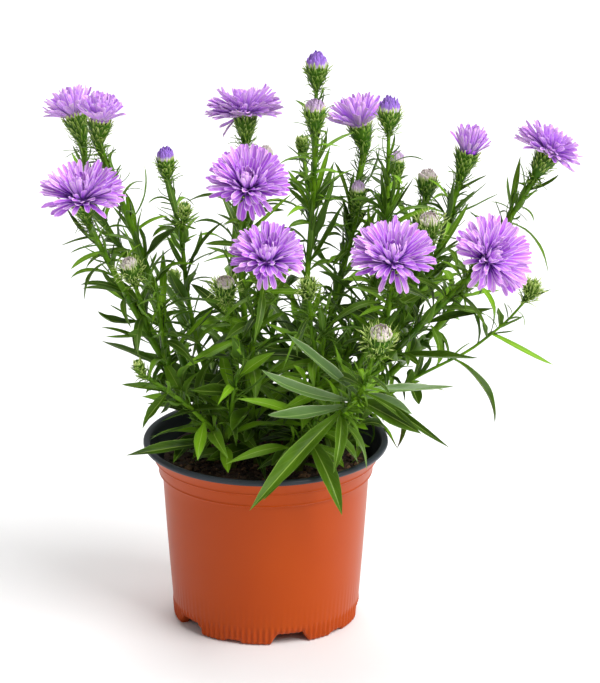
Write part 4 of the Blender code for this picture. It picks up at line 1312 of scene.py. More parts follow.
@cache
def mottle() -> NodeTree:
    """Soft patches through space: their size and contrast in, their strength out.

    Returns:
        The effect.
    """
    tree, bench, given, result = group("mottle", {"Scale": 80.0, "Contrast": 1.0}, ("Patches",))
    centred = bench.math("SUBTRACT", bench.noise(given["Scale"], 3.0), 0.5)
    scaled = bench.times(centred, given["Contrast"])
    bench.feed(result["Patches"], bench.math("ADD", scaled, 0.5, clamp=True))
    return tree


@cache
def blade_marks() -> NodeTree:
    """The marks of a leaf or petal: its midrib, edge and side veins as masks.

    Returns:
        The effect.
    """
    inputs = {"Rib Width": 0.16, "Edge Width": 0.12, "Vein Count": 9.0, "Vein Slant": 2.2}
    tree, bench, given, result = group("blade_marks", inputs, ("Rib", "Edge", "Veins"))
    off_middle = bench.math("ABSOLUTE", bench.math("SUBTRACT", bench.mark("across"), 0.5))
    outward = bench.times(off_middle, 2.0)
    edge_start = bench.math("SUBTRACT", 1.0, given["Edge Width"])
    slant = bench.times(outward, given["Vein Slant"])
    rows = bench.times(bench.mark("along"), given["Vein Count"])
    wave = bench.math("SINE", bench.times(bench.math("SUBTRACT", rows, slant), FULL_TURN))
    bench.feed(result["Rib"], bench.span(outward, 0.0, given["Rib Width"], 1.0, 0.0))
    bench.feed(result["Edge"], bench.span(outward, edge_start, 1.0))
    bench.feed(result["Veins"], bench.span(wave, 0.72, 1.0))
    return tree


@cache
def petal_lines() -> NodeTree:
    """Fine lines along a petal: their number and how far they drift in, their strength out.

    Returns:
        The effect.
    """
    tree, bench, given, result = group("lines", {"Count": 3.0, "Drift": 0.4}, ("Lines",))
    drift = bench.times(bench.noise(160.0, 2.0), given["Drift"])
    turns = bench.times(bench.mark("across"), given["Count"])
    wave = bench.math("COSINE", bench.times(bench.math("ADD", turns, drift), FULL_TURN))
    bench.feed(result["Lines"], bench.math("MULTIPLY_ADD", wave, 0.5, 0.5))
    return tree


@cache
def fine_grain() -> NodeTree:
    """The fine unevenness of a skin, as a height for a bump.

    Returns:
        The effect.
    """
    tree, bench, given, result = group("grain", {"Scale": 900.0, "Depth": 1.0}, ("Height",))
    bench.feed(result["Height"], bench.times(bench.noise(given["Scale"], 4.0), given["Depth"]))
    return tree


class Skin(Bench):
    """A material being laid out: its node tree, its shader and the shared effects placed in it."""

    def __init__(self, name: str) -> None:
        """Start a new material with a plain shader.

        Args:
            name: Its name.
        """
        self.material = bpy.data.materials.new(name)
        self.material.use_nodes = True
        super().__init__(self.material.node_tree)
        self.shader = self.tree.nodes["Principled BSDF"]

    def effect(self, tree: NodeTree, **values: object) -> bpy.types.NodeOutputs:
        """Place a shared effect in the material.

        Args:
            tree: The effect.
            values: Its inputs by name, with an underscore for each blank.

        Returns:
            What comes out of it.
        """
        node = self.add("ShaderNodeGroup", node_tree=tree)
        for label, value in values.items():
            self.feed(node.inputs[label.replace("_", " ")], value)
        return node.outputs

    def patches(self, scale: float, contrast: float) -> Socket:
        """Soft patches through space, from 0 to 1."""
        return self.effect(mottle(), Scale=scale, Contrast=contrast)["Patches"]

    def grain(self, scale: float, depth: float) -> Socket:
        """A fine unevenness, as a height."""
        return self.effect(fine_grain(), Scale=scale, Depth=depth)["Height"]

    def relief(self, height: Socket, strength: float, distance: float) -> None:
        """Give the surface a fine relief.

        Args:
            height: Its height over the surface.
            strength: How strongly it shows.
            distance: How high it is, in metres.
        """
        bump = self.add("ShaderNodeBump")
        for label, value in (("Strength", strength), ("Distance", distance), ("Height", height)):
            self.feed(bump.inputs[label], value)
        self.feed(self.shader.inputs["Normal"], bump.outputs["Normal"])

    def finished(self, **values: object) -> Material:
        """Set up the shader and hand over the material.

        Args:
            values: The shader's inputs by name, with an underscore for each blank.

        Returns:
            The material.
        """
        for label, value in values.items():
            self.feed(self.shader.inputs[label.replace("_", " ")], value)
        return self.material


@dataclass(frozen=True)
class LeafFinish:
    """A leaf: satin green with a pale midrib, fine side veins, a grey-green under side and a pale edge that is partly
    a painted highlight along the rim.
    """

    name: str = "leaf_skin"
    dark: Colour = paint(6, 32, 1)
    light: Colour = paint(138, 192, 32)
    rib: Colour = paint(200, 228, 116)
    # The pale edge colour: partly a paler margin, partly a painted highlight along the rim
    edge: Colour = paint(176, 212, 92)
    under: Colour = paint(98, 138, 52)
    roughness: float = 0.32
    gloss: float = 0.17
    margin: float = 0.4

    def build(self) -> Material:
        """Make the material.

        Returns:
            The material.
        """
        skin = Skin(self.name)
        patches = skin.patches(60.0, 1.6)
        marks = skin.effect(blade_marks(), Rib_Width=0.09, Edge_Width=0.08)
        shade = skin.math("MULTIPLY_ADD", skin.mark("tint"), 0.75, skin.times(patches, 0.22), clamp=True)
        young = skin.span(skin.mark("along"), 0.0, 0.3, 0.3, 0.0)
        blade = skin.mix(skin.math("ADD", shade, young, clamp=True), self.dark, self.light)
        blade = skin.mix(skin.times(marks["Veins"], 0.03), blade, self.rib)
        beneath = skin.mix(skin.times(patches, 0.5), self.under, self.dark)
        blade = skin.mix(skin.times(skin.mark("under"), 0.8), blade, beneath)
        # The pale edge, partly a painted highlight along the rim
        blade = skin.mix(skin.times(marks["Edge"], self.margin), blade, self.edge)
        blade = skin.mix(skin.times(marks["Rib"], 0.45), blade, self.rib)
        veins = skin.math("MULTIPLY_ADD", marks["Veins"], -0.15, skin.grain(1500.0, 0.4))
        skin.relief(veins, 0.5, 0.0003)
        return skin.finished(
            Base_Color=blade, Roughness=skin.math("MULTIPLY_ADD", patches, 0.14, self.roughness),
            Specular_IOR_Level=self.gloss, Subsurface_Weight=0.12, Subsurface_Radius=(0.0012, 0.002, 0.0004),
        )


@dataclass(frozen=True)
class StemFinish:
    """A stem: fresh green that darkens and browns towards the soil."""

    name: str = "stem_skin"
    fresh: Colour = paint(132, 178, 28)
    deep: Colour = paint(50, 96, 8)
    old: Colour = paint(84, 74, 40)

    def build(self) -> Material:
        """Make the material.

        Returns:
            The material.
        """
        skin = Skin(self.name)
        green = skin.mix(skin.times(skin.patches(120.0, 2.0), skin.mark("tint")), self.deep, self.fresh)
        height = skin.add("ShaderNodeSeparateXYZ")
        skin.feed(height.inputs[0], skin.add("ShaderNodeTexCoord").outputs["Object"])
        age = skin.span(height.outputs["Z"], 0.084, 0.115, 0.7, 0.0)
        skin.relief(skin.grain(1200.0, 1.0), 0.4, 0.0003)
        return skin.finished(Base_Color=skin.mix(age, green, self.old), Roughness=0.5, Specular_IOR_Level=0.2)


@dataclass(frozen=True)
class BractFinish:
    """A bract of a flower head's cup: dark green with a pale lime tip and margin."""

    name: str = "bract_skin"
    dark: Colour = paint(34, 84, 2)
    light: Colour = paint(136, 184, 24)
    tip: Colour = paint(232, 242, 158)

    def build(self) -> Material:
        """Make the material.

        Returns:
            The material.
        """
        skin = Skin(self.name)
        marks = skin.effect(blade_marks(), Rib_Width=0.3, Edge_Width=0.4)
        body = skin.mix(skin.mark("along"), self.dark, self.light)
        pale = skin.times(skin.mark("tint"), skin.span(skin.mark("along"), 0.25, 0.95))
        shown = skin.math("ADD", pale, skin.times(marks["Edge"], 0.4), clamp=True)
        return skin.finished(Base_Color=skin.mix(shown, body, self.tip), Roughness=0.55, Specular_IOR_Level=0.2)


@dataclass(frozen=True)
class PetalFinish:
    """A petal: its colours from root to tip, with fine darker lines along it and a lighter edge."""

    name: str
    root: Colour
    middle: Colour
    tip: Colour
    line: Colour
    edge: Colour
    turn: Pair = (0.1, 0.5)

    def build(self) -> Material:
        """Make the material.

        Returns:
            The material.
        """
        skin = Skin(self.name)
        patches = skin.patches(90.0, 1.5)
        marks = skin.effect(blade_marks(), Rib_Width=0.3, Edge_Width=0.42)
        lines = skin.effect(petal_lines(), Count=3.0, Drift=0.3)["Lines"]
        along = skin.mark("along")
        # From the root colour to the middle one; in open blooms the dark root colour is painted shade.
        lower = skin.mix(skin.span(along, *self.turn), self.root, self.middle)
        shade = skin.math("MULTIPLY_ADD", skin.mark("tint"), 0.6, skin.times(patches, 0.4))
        upper = skin.mix(shade, self.middle, self.tip)
        body = skin.mix(skin.span(along, self.turn[0] + 0.15, 0.95), lower, upper)
        body = skin.mix(skin.times(lines, 0.38), body, self.line)
        body = skin.mix(skin.times(skin.mark("under"), 0.25), body, self.edge)
        rim = skin.times(marks["Edge"], skin.span(along, 0.1, 0.6, 0.15, 0.8))
        skin.relief(lines, 0.35, 0.0003)
        return skin.finished(
            Base_Color=skin.mix(rim, body, self.edge), Roughness=0.6, Specular_IOR_Level=0.15,
            Subsurface_Weight=0.35, Subsurface_Radius=(0.002, 0.0014, 0.0024),
        )


@dataclass(frozen=True)
class PotFinish:
    """The pot's plastic: satin terracotta outside, dark blue-grey on the lip and inside."""

    name: str = "pot_plastic"
    outside: Colour = paint(184, 74, 4)
    worn: Colour = paint(172, 62, 4)
    inside: Colour = paint(52, 58, 64)

    def build(self) -> Material:
        """Make the material.

        Returns:
            The material.
        """
        skin = Skin(self.name)
        patches = skin.patches(18.0, 1.2)
        wall = skin.mix(patches, self.worn, self.outside)
        skin.relief(skin.grain(1400.0, 0.5), 0.12, 0.0002)
        return skin.finished(
            Base_Color=skin.mix(skin.mark("under"), wall, self.inside),
            Roughness=skin.math("MULTIPLY_ADD", patches, 0.1, 0.3), Specular_IOR_Level=0.2,
        )


@dataclass(frozen=True)
class SoilFinish:
    """Potting mix: dark brown peat with lighter crumbs of bark and fibre."""

    name: str = "potting_soil"
    wet: Colour = paint(28, 20, 15)
    dry: Colour = paint(74, 54, 40)
    chip: Colour = paint(132, 98, 70)

    def build(self) -> Material:
        """Make the material.

        Returns:
            The material.
        """
        skin = Skin(self.name)
        earth = skin.mix(skin.patches(260.0, 2.4), self.wet, self.dry)
        skin.relief(skin.grain(700.0, 1.0), 1.0, 0.0012)
        return skin.finished(Base_Color=skin.mix(skin.mark("tint"), earth, self.chip), Roughness=0.95)


@dataclass(frozen=True)
class FloorFinish:
    """The studio floor: plain and white."""

    name: str = "studio_floor"
    white: Colour = (0.9, 0.9, 0.9, 1.0)

    def build(self) -> Material:
        """Make the material."""
        skin = Skin(self.name)
        return skin.finished(Base_Color=skin.mix(skin.patches(2.0, 0.1), self.white, self.white), Roughness=0.9)


# Greyish leaves with a painted sheen: the pale light, edge and under colours stand in for satin highlights, beside
# the real gloss.
SATIN_LEAF = LeafFinish(
    "leaf_painted_sheen", paint(52, 90, 28), paint(150, 186, 100), paint(196, 222, 140), paint(224, 238, 190),
    paint(146, 170, 122), 0.32, 0.5, 0.75,
)
# Open blooms: the deep violet root colour is painted shade where the petals crowd round the heart, and the heart
# takes it too; the near-white tips are a paler colour with a painted highlight on them.
OPEN_PETALS = PetalFinish(
    "petal_open", paint(80, 18, 154), paint(206, 108, 247), paint(255, 212, 255), paint(138, 54, 212),
    paint(255, 240, 255), (0.06, 0.5),
)
FAN_PETALS = PetalFinish(
    "petal_fan", paint(232, 206, 242), paint(206, 128, 250), paint(255, 212, 255), paint(150, 80, 224),
    paint(252, 228, 255), (0.1, 0.4),
)
VIOLET_PETALS = PetalFinish(
    "petal_violet", paint(244, 238, 240), paint(164, 116, 220), paint(104, 58, 168), paint(92, 46, 160),
    paint(190, 156, 234), (0.26, 0.6),
)
MAUVE_PETALS = PetalFinish(
    "petal_mauve", paint(240, 238, 220), paint(210, 182, 218), paint(140, 92, 164), paint(140, 104, 166),
    paint(230, 212, 230), (0.3, 0.8),
)
PALE_PETALS = PetalFinish(
    "petal_pale", paint(204, 216, 140), paint(234, 228, 210), paint(188, 156, 182), paint(150, 130, 144),
    paint(246, 242, 230), (0.2, 0.7),
)


def petals_of(head: Head) -> PetalFinish:
    """Find the finish of a head's petals.

    Args:
        head: The head.

    Returns:
        The finish.
    """
    if head.node in PALE_BUDS:
        return PALE_PETALS
    if head.node in MAUVE_BUDS:
        return MAUVE_PETALS
    if head.kind is Kind.FAN or head.node in PALE_BLOOMS:
        return FAN_PETALS
    return VIOLET_PETALS if head.bud else OPEN_PETALS


@dataclass(frozen=True)
class PetalRow:
    """One row of petals. They lift by degrees and reach a share of the head's reach.

    The foot and height of their roots and their width are in millimetres, their bend is in radians.
    """

    count: int
    lift: float
    reach: float
    foot: float
    height: float
    bend: float
    width: float


# Rows of petals from the outermost in: number, lift, reach, foot, height, bend, width
PETAL_ROWS = {kind: [PetalRow(*row) for row in rows] for kind, rows in {
    Kind.OPEN: (
        (28, 2, 0.97, 4.4, 0.8, 0.15, 3.0), (34, 11, 0.99, 4.3, 1.2, 0.2, 3.0),
        (34, 20, 1.0, 4.0, 1.6, 0.22, 3.0), (31, 30, 0.98, 3.7, 2.0, 0.15, 2.9),
        (26, 41, 0.92, 3.4, 2.3, 0.05, 2.7), (15, 38, 0.6, 3.1, 2.7, 0.1, 2.5),
        (16, 54, 0.7, 3.0, 2.9, -0.2, 2.4), (13, 65, 0.58, 2.7, 3.1, -0.45, 2.2),
        (9, 74, 0.44, 2.1, 3.2, -0.8, 1.9), (6, 68, 0.25, 1.1, 3.2, -1.0, 1.3),
    ),
    Kind.FAN: (
        (17, 18, 1.0, 4.4, 0.8, 0.1, 2.8), (17, 29, 1.0, 4.2, 1.1, 0.12, 2.8),
        (16, 40, 0.97, 3.8, 1.6, 0.1, 2.7), (14, 51, 0.92, 3.2, 2.0, 0.0, 2.6),
        (11, 63, 0.84, 2.5, 2.4, -0.1, 2.5), (8, 76, 0.7, 1.5, 2.8, -0.3, 2.2),
    ),
    Kind.BRUSH: (
        (13, 56, 0.96, 4.6, 0.6, 0.16, 2.1), (13, 67, 1.0, 4.0, 1.0, 0.05, 2.1),
        (12, 77, 0.98, 3.1, 1.4, -0.05, 2.0), (8, 85, 0.92, 1.9, 1.8, -0.15, 2.0),
    ),
    Kind.TUFT: (
        (15, 78, 0.78, 5.1, 0.0, -0.7, 2.4), (13, 82, 0.88, 4.2, 0.3, -0.65, 2.2),
        (10, 86, 0.94, 2.9, 0.6, -0.4, 2.0), (6, 89, 0.88, 1.4, 0.8, -0.2, 1.8),
    ),
}.items()}

# How much of a tuft's full height each bud shows, where it isn't nearly all of it
TUFT_HEIGHTS = {
    "bud_top": 0.84, "bud_right_tall": 0.8, "bud_top_front": 0.55, "bud_left_front": 0.5, "bud_low_left": 0.42,
    "bud_right_mid": 0.5, "bud_front": 0.48, "bud_left_tall": 0.86, "bud_right_back": 0.62,
}


@dataclass(frozen=True)
class Stance:
    """How the petals of one bloom differ from those of other blooms of its kind, in degrees.

    They rise more steeply all round, and more steeply still on the side that they lean to. Odd petals hang
    below the disc, each at its turn round the head and by its drop, and on one side they are sparse. A turn
    of 90 is the front.
    """

    rise: float = 0.0
    lean: float = 0.0
    side: float = 90.0
    hanging: tuple[Pair, ...] = ()
    sparse: float = 90.0


STANCES = {
    "bloom_centre": Stance(13, 5, 90, ((62, -50), (80, -30), (98, -22), (128, -52), (142, -28), (112, -12))),
    "bloom_low_centre": Stance(8, 2, 90, ((80, -66), (66, -40), (102, -24), (124, -14))),
    "bloom_right_front": Stance(9, 4, 90, ((104, -58), (122, -34), (64, -26), (140, -16))),
    "bloom_right": Stance(6, 14, 340, ((50, -40), (72, -52), (94, -30), (118, -14), (134, -10)), 45),
    "bloom_left_front": Stance(4, 10, 85, ((20, -12), (40, -16), (60, -8))),
    "bloom_centre_back": Stance(8, 0, 90, ((150, -38), (136, -24))),
    "bloom_left_back": Stance(24),
    "bloom_far_left": Stance(12),
    "bloom_back_right": Stance(14),
}


@dataclass
class Bloom:
    """The coloured part of a head: rows of strap petals round a small heart.

    The flat rows of an open bloom are sparse on one side: petals miss there, and the others are short.
    """

    head: Head
    seat: Vector
    finish: Material
    gap: float = 0.3 * MM
    tuft_reach: float = 8.2 * MM
    brush_reach: float = 13.0 * MM
    jitter: float = 0.42
    sparse_sector: float = 0.5
    sparse_rise: float = 50
    sparse_gaps: float = 0.6
    sparse_share: float = 0.76
    hanging_share: float = 0.8

    def __post_init__(self) -> None:
        """Start with nothing made and with this head's own chance."""
        self.surface = Surface()
        self.draw = random.Random(self.head.node)

    def reach(self) -> float:
        """Find how far the longest petals reach from the middle.

        Returns:
            The distance in metres.
        """
        if self.head.kind is Kind.TUFT:
            return self.tuft_reach * self.head.scale
        return self.brush_reach if self.head.kind is Kind.BRUSH else self.head.size / 2 * MM

    def build(self) -> Object:
        """Make the petals and the heart as one piece.

        Returns:
            The piece.
        """
        blooming = self.head.kind is Kind.OPEN
        tuft = self.head.kind is Kind.TUFT
        tall = TUFT_HEIGHTS.get(self.head.node, 0.9) if tuft else 1.0
        stance = STANCES.get(self.head.node, Stance())
        loose = 5 if tuft else 8
        shortest = 0.93 if blooming else 0.88
        self.add_heart(self.head.scale * (0.8 if tuft else 1.0), tall)
        rows = PETAL_ROWS[self.head.kind]
        for number, row in enumerate(rows):
            for k in range(row.count):
                angle = FULL_TURN * (k + 0.5 * number + self.draw.uniform(-self.jitter, self.jitter)) / row.count
                lift = row.lift + stance.rise + self.draw.uniform(-loose, loose)
                lift += stance.lean * math.cos(angle - math.radians(stance.side))
                share = row.reach * self.draw.uniform(shortest, 1.03) * tall
                if (
                    blooming and row.lift < self.sparse_rise
                    and math.cos(angle - math.radians(stance.sparse)) > self.sparse_sector
                ):
                    if self.draw.random() < self.sparse_gaps:
                        continue
                    share *= self.sparse_share
                self.add_petal(row, angle, lift, share)
        for turn, drop in stance.hanging:
            self.add_petal(rows[0], math.radians(turn), drop, self.hanging_share)
        return self.surface.piece(self.head.node + "_petals", [self.finish], 70)

    def add_petal(self, row: PetalRow, angle: float, lift: float, share: float) -> None:
        """Add one petal.

        Args:
            row: The row that it belongs to.
            angle: Its turn round the head, in radians.
            lift: How far it rises from the disc, in degrees.
            share: Its reach as a share of the head's.
        """
        facing, scale = self.head.ahead, self.head.scale
        outward = around(facing, angle)
        tilt = math.radians(lift)
        along, upper = turn_both(outward, facing, tilt)
        foot = row.foot * scale * MM
        root = self.seat + facing * (self.gap + row.height * scale * MM) + outward * foot * 0.8
        length = self.reach() * share - foot * 0.8 * math.cos(tilt)
        width = row.width * scale * MM * self.draw.uniform(0.85, 1.08)
        bend = row.bend + self.draw.uniform(-0.12, 0.12)
        form = Form.BUD_PETAL if self.head.kind is Kind.TUFT else Form.PETAL
        blade = Blade(root, along, upper, length, width, bend, form)
        BLADE_SHAPES[form].sweep(self.surface, blade, 0, self.draw, self.draw.random())

    def add_heart(self, scale: float, tall: float) -> None:
        """Add the small solid that the petals stand on.

        Args:
            scale: Its size beside that of an open bloom's.
            tall: How much of its full height it has.
        """
        top = 3.0 if self.head.kind in (Kind.OPEN, Kind.FAN) else 3.0 * tall
        profile = ((4.2, 0.0), (4.4, 0.8), (3.6, top * 0.6), (2.0, top), (0.0, top + 0.6))
        points = [self.seat + self.head.ahead * (self.gap + height * scale * MM) for _, height in profile]
        # The heart wears its bloom's petal finish; in an open bloom its deep violet base is painted shade.
        self.surface.tube(points, [radius * scale * MM for radius, _ in profile], 16, 0, 0.2)


@dataclass(frozen=True)
class BractKind:
    """How a kind of bract stands on its cup, in degrees, millimetres and radians. A pale tip has a high tint."""

    leans: Pair
    lengths: Pair
    width: float
    bends: Pair
    tints: Pair


BRISTLE = BractKind((14, 72), (3.6, 7.4), 0.7, (-1.8, 1.2), (0.2, 1.0))
TOP_BRACT = BractKind((56, 84), (2.6, 4.2), 1.6, (-0.3, 0.6), (0.6, 1.0))
LOOSE_BRACT = BractKind((14, 70), (3.4, 7.0), 0.9, (-1.5, 1.5), (0.0, 0.3))
CLOSE_BRACT = BractKind((52, 82), (3.0, 5.0), 1.6, (-0.4, 1.2), (0.1, 0.6))

# The outline of each kind of cup from the stem below it to its mouth: (share of its length, share of its radius)
OPEN_CUP = (
    (-0.55, 0.28), (-0.25, 0.38), (0.05, 0.56), (0.35, 0.8), (0.62, 1.0), (0.86, 1.12), (0.96, 1.08), (1.0, 0.9),
)
CUP_OUTLINES = {
    Kind.OPEN: OPEN_CUP,
    Kind.FAN: OPEN_CUP,
    Kind.BRUSH: OPEN_CUP,
    Kind.TUFT: ((-0.3, 0.26), (0.0, 0.52), (0.25, 0.8), (0.5, 0.98), (0.78, 1.08), (0.94, 1.02), (1.0, 0.84)),
    Kind.GREEN: ((-0.3, 0.3), (0.0, 0.6), (0.4, 0.92), (0.88, 1.0), (1.15, 0.8), (1.38, 0.5), (1.5, 0.0)),
}

# Shoots whose high large leaves are greyish with a painted sheen, with long and many neck leaves, and with thinner
# stems than their solids
SATIN_SHOOTS = ("shoot_front",)
LEAFY_NECKS = {"shoot_front": 2.0}
SLENDER = {"shoot_low_right": 0.62}


@dataclass
class Shoot:
    """One leafy shoot: its stems, leaves, and the green cups under its heads.

    Places on a cup are shares of its length. Neck leaves are in millimetres, degrees and radians.
    """

    node: str
    twigs: Sequence[Twig]
    leaves: list[Blade]
    bracts: list[Blade]
    finishes: Sequence[Material]
    sides: int = 9
    corner: float = 7.0 * MM
    bloom_neck: float = 1.9 * MM
    sheen_leaf_height: float = 125.0 * MM
    sheen_leaf_width: float = 0.8
    cup_sides: int = 14
    lowest_bracts: float = -0.7
    highest_bracts: float = 0.92
    loose_below: float = 0.05
    neck: float = 30.0 * MM
    neck_leans: Pair = (28, 86)
    neck_lengths: Pair = (6, 14)
    neck_widths: Pair = (0.7, 1.9)
    neck_bends: Pair = (-1.4, 1.7)
    neck_steps: Pair = (0.6, 1.2)

    LEAF, STEM, BRACT, SATIN = 0, 1, 2, 3

    def __post_init__(self) -> None:
        """Start with nothing made and with this shoot's own chance."""
        self.surface = Surface()
        self.draw = random.Random(self.node)

    def build(self) -> Object:
        """Make the whole shoot as one piece.

        Returns:
            The piece.
        """
        for twig in self.twigs:
            self.add_stem(twig)
            if twig.head:
                self.add_cup(twig)
            self.add_neck_leaves(twig)
        for blade in self.leaves:
            large = blade.form is Form.LARGE
            tint = self.draw.uniform(0.0, 0.22) if large else self.draw.random() ** 1.7
            # The high large leaves of these shoots are narrower and take the leaf with painted sheen
            satin = large and self.node in SATIN_SHOOTS and blade.at(1.0)[0].z > self.sheen_leaf_height
            if satin:
                blade = replace(blade, width=blade.width * self.sheen_leaf_width)
            self.sweep(blade, self.SATIN if satin else self.LEAF, tint)
        for blade in self.bracts:
            self.sweep(blade, self.BRACT, self.draw.uniform(0.0, 0.3))
        return self.surface.piece(self.node + "_leafy", self.finishes)

    def sweep(self, blade: Blade, slot: int, tint: float) -> None:
        """Add a blade with its finish and tint."""
        BLADE_SHAPES[blade.form].sweep(self.surface, blade, slot, self.draw, tint)

    def add_stem(self, twig: Twig) -> None:
        """Add a stem with its corners rounded.

        Args:
            twig: The twig.
        """
        points, radii = twig.stem()
        radii = [radius * SLENDER.get(self.node, 1.0) for radius in radii]
        if twig.head and not twig.head.bud:
            radii[-1] = self.bloom_neck
        line, sizes = [points[0]], [radii[0]]
        for index in range(1, len(points) - 1):
            corner, radius = points[index], radii[index]
            back, ahead = points[index - 1] - corner, points[index + 1] - corner
            start = corner + back.normalized() * min(self.corner, back.length * 0.4)
            end = corner + ahead.normalized() * min(self.corner, ahead.length * 0.4)
            for t in (0.0, 0.33, 0.67, 1.0):
                line.append(start * (1 - t) ** 2 + corner * 2 * t * (1 - t) + end * t * t)
                sizes.append(radius * (1 + 0.04 * math.sin(9 * index + 5 * t)))
        line.append(points[-1])
        sizes.append(radii[-1] if twig.head else 0.0)
        self.surface.tube(line, sizes, self.sides, self.STEM, self.draw.uniform(0.6, 1.0))

    @staticmethod
    def cup_middle(twig: Twig, height: float) -> tuple[Vector, Vector]:
        """Find the middle of a cup, or of the stem below it.

        Args:
            twig: The twig whose cup it is.
            height: The height as a share of the cup's length; below zero is on the stem.

        Returns:
            The point, and the way the cup or the stem goes there.
        """
        if height < 0:
            return spot_on(twig.line, length_of(twig.line) + height * twig.head.cup[1])
        return twig.cup_base + twig.head.ahead * twig.head.cup[1] * height, twig.head.ahead

    def add_cup(self, twig: Twig) -> None:
        """Add the green cup under a head, with its rows of bracts.

        Args:
            twig: The twig.
        """
        head = twig.head
        outline = CUP_OUTLINES[head.kind]
        line = [self.cup_middle(twig, height)[0] for height, _ in outline]
        radii = [head.cup[0] * breadth * 0.92 for _, breadth in outline]
        self.surface.tube(line, radii, self.cup_sides, self.STEM, 0.15)
        bristly = head.node in BRISTLY_BUDS or (head.kind is Kind.GREEN and head.size >= BRISTLY_SIZE)
        rows = 13 if bristly else 9
        span = self.highest_bracts - self.lowest_bracts
        for row in range(rows):
            height = self.lowest_bracts + span * row / (rows - 1)
            last = row == rows - 1
            loose = LOOSE_BRACT if height < self.loose_below else CLOSE_BRACT
            kind = BRISTLE if bristly else TOP_BRACT if last else loose
            count = 20 if last else 8 + row
            for k in range(count):
                angle = FULL_TURN * (k + 0.5 * (row % 2) + self.draw.uniform(-0.25, 0.25)) / count
                self.add_bract(twig, height, angle, kind, head.bud and last)
        if head.kind is Kind.GREEN:
            for k in range(12):
                angle = FULL_TURN * (k + self.draw.uniform(-0.2, 0.2)) / 12
                self.add_bract(twig, 1.05, angle, TOP_BRACT, True)

    def add_bract(self, twig: Twig, height: float, angle: float, kind: BractKind, upright: bool) -> None:
        """Add one bract to a cup.

        Args:
            twig: The twig whose head it is.
            height: The height of its root, as a share of the cup's length.
            angle: Its turn round the cup, in radians.
            kind: What kind of bract it is.
            upright: Whether it stands upright round a bud's mouth.
        """
        head = twig.head
        middle, ahead = self.cup_middle(twig, height)
        outward = around(ahead, angle)
        breadth = value_at(CUP_OUTLINES[head.kind], height)
        root = middle + outward * head.cup[0] * breadth * 0.86
        scale = max(0.7, head.scale) if head.bud else 1.0
        lean, reach = self.draw.uniform(*kind.leans), self.draw.uniform(*kind.lengths)
        bend, tint = self.draw.uniform(*kind.bends), self.draw.uniform(*kind.tints)
        if upright:
            lean = self.draw.uniform(80, 95)
        along, upper = turn_both(outward, ahead, math.radians(lean))
        blade = Blade(root, along, upper, reach * scale * MM, kind.width * MM, bend, Form.SHORT)
        self.sweep(blade, self.BRACT, tint)

    def add_neck_leaves(self, twig: Twig) -> None:
        """Add the small curved leaves that crowd below a head, or along the end of a bare twig.

        Args:
            twig: The twig.
        """
        total = length_of(twig.line)
        leafy = LEAFY_NECKS.get(self.node, 1.0)
        zone = min(self.neck, total * 0.4) * leafy
        crowded = leafy > 1.0 or (twig.head is not None and not twig.head.bud)
        turn = self.draw.uniform(0, FULL_TURN)
        travelled = total - zone
        while travelled < total - 0.5 * MM:
            point, ahead = spot_on(twig.line, travelled)
            near = 1 - (total - travelled) / zone
            turn += GOLDEN_TURN
            outward = around(ahead, turn)
            upper, along = turn_both(-outward, ahead, math.radians(self.draw.uniform(*self.neck_leans)))
            length = self.draw.uniform(*self.neck_lengths) * (1 - 0.35 * near) * min(leafy, 1.25) * MM
            width = self.draw.uniform(*self.neck_widths) * (1 - 0.3 * near) * MM
            bend = self.draw.uniform(*self.neck_bends)
            blade = Blade(point + outward * 1.2 * MM * near, along, upper, length, width, bend, Form.LINEAR)
            tint = self.draw.uniform(0.0, 0.45) if leafy == 1.0 else self.draw.uniform(0.2, 1.0)
            self.sweep(blade, self.LEAF, tint)
            step = self.draw.uniform(*self.neck_steps) * MM * (1.0 if crowded else 1.6)
            travelled += step / SLENDER.get(self.node, 1.0) ** 2


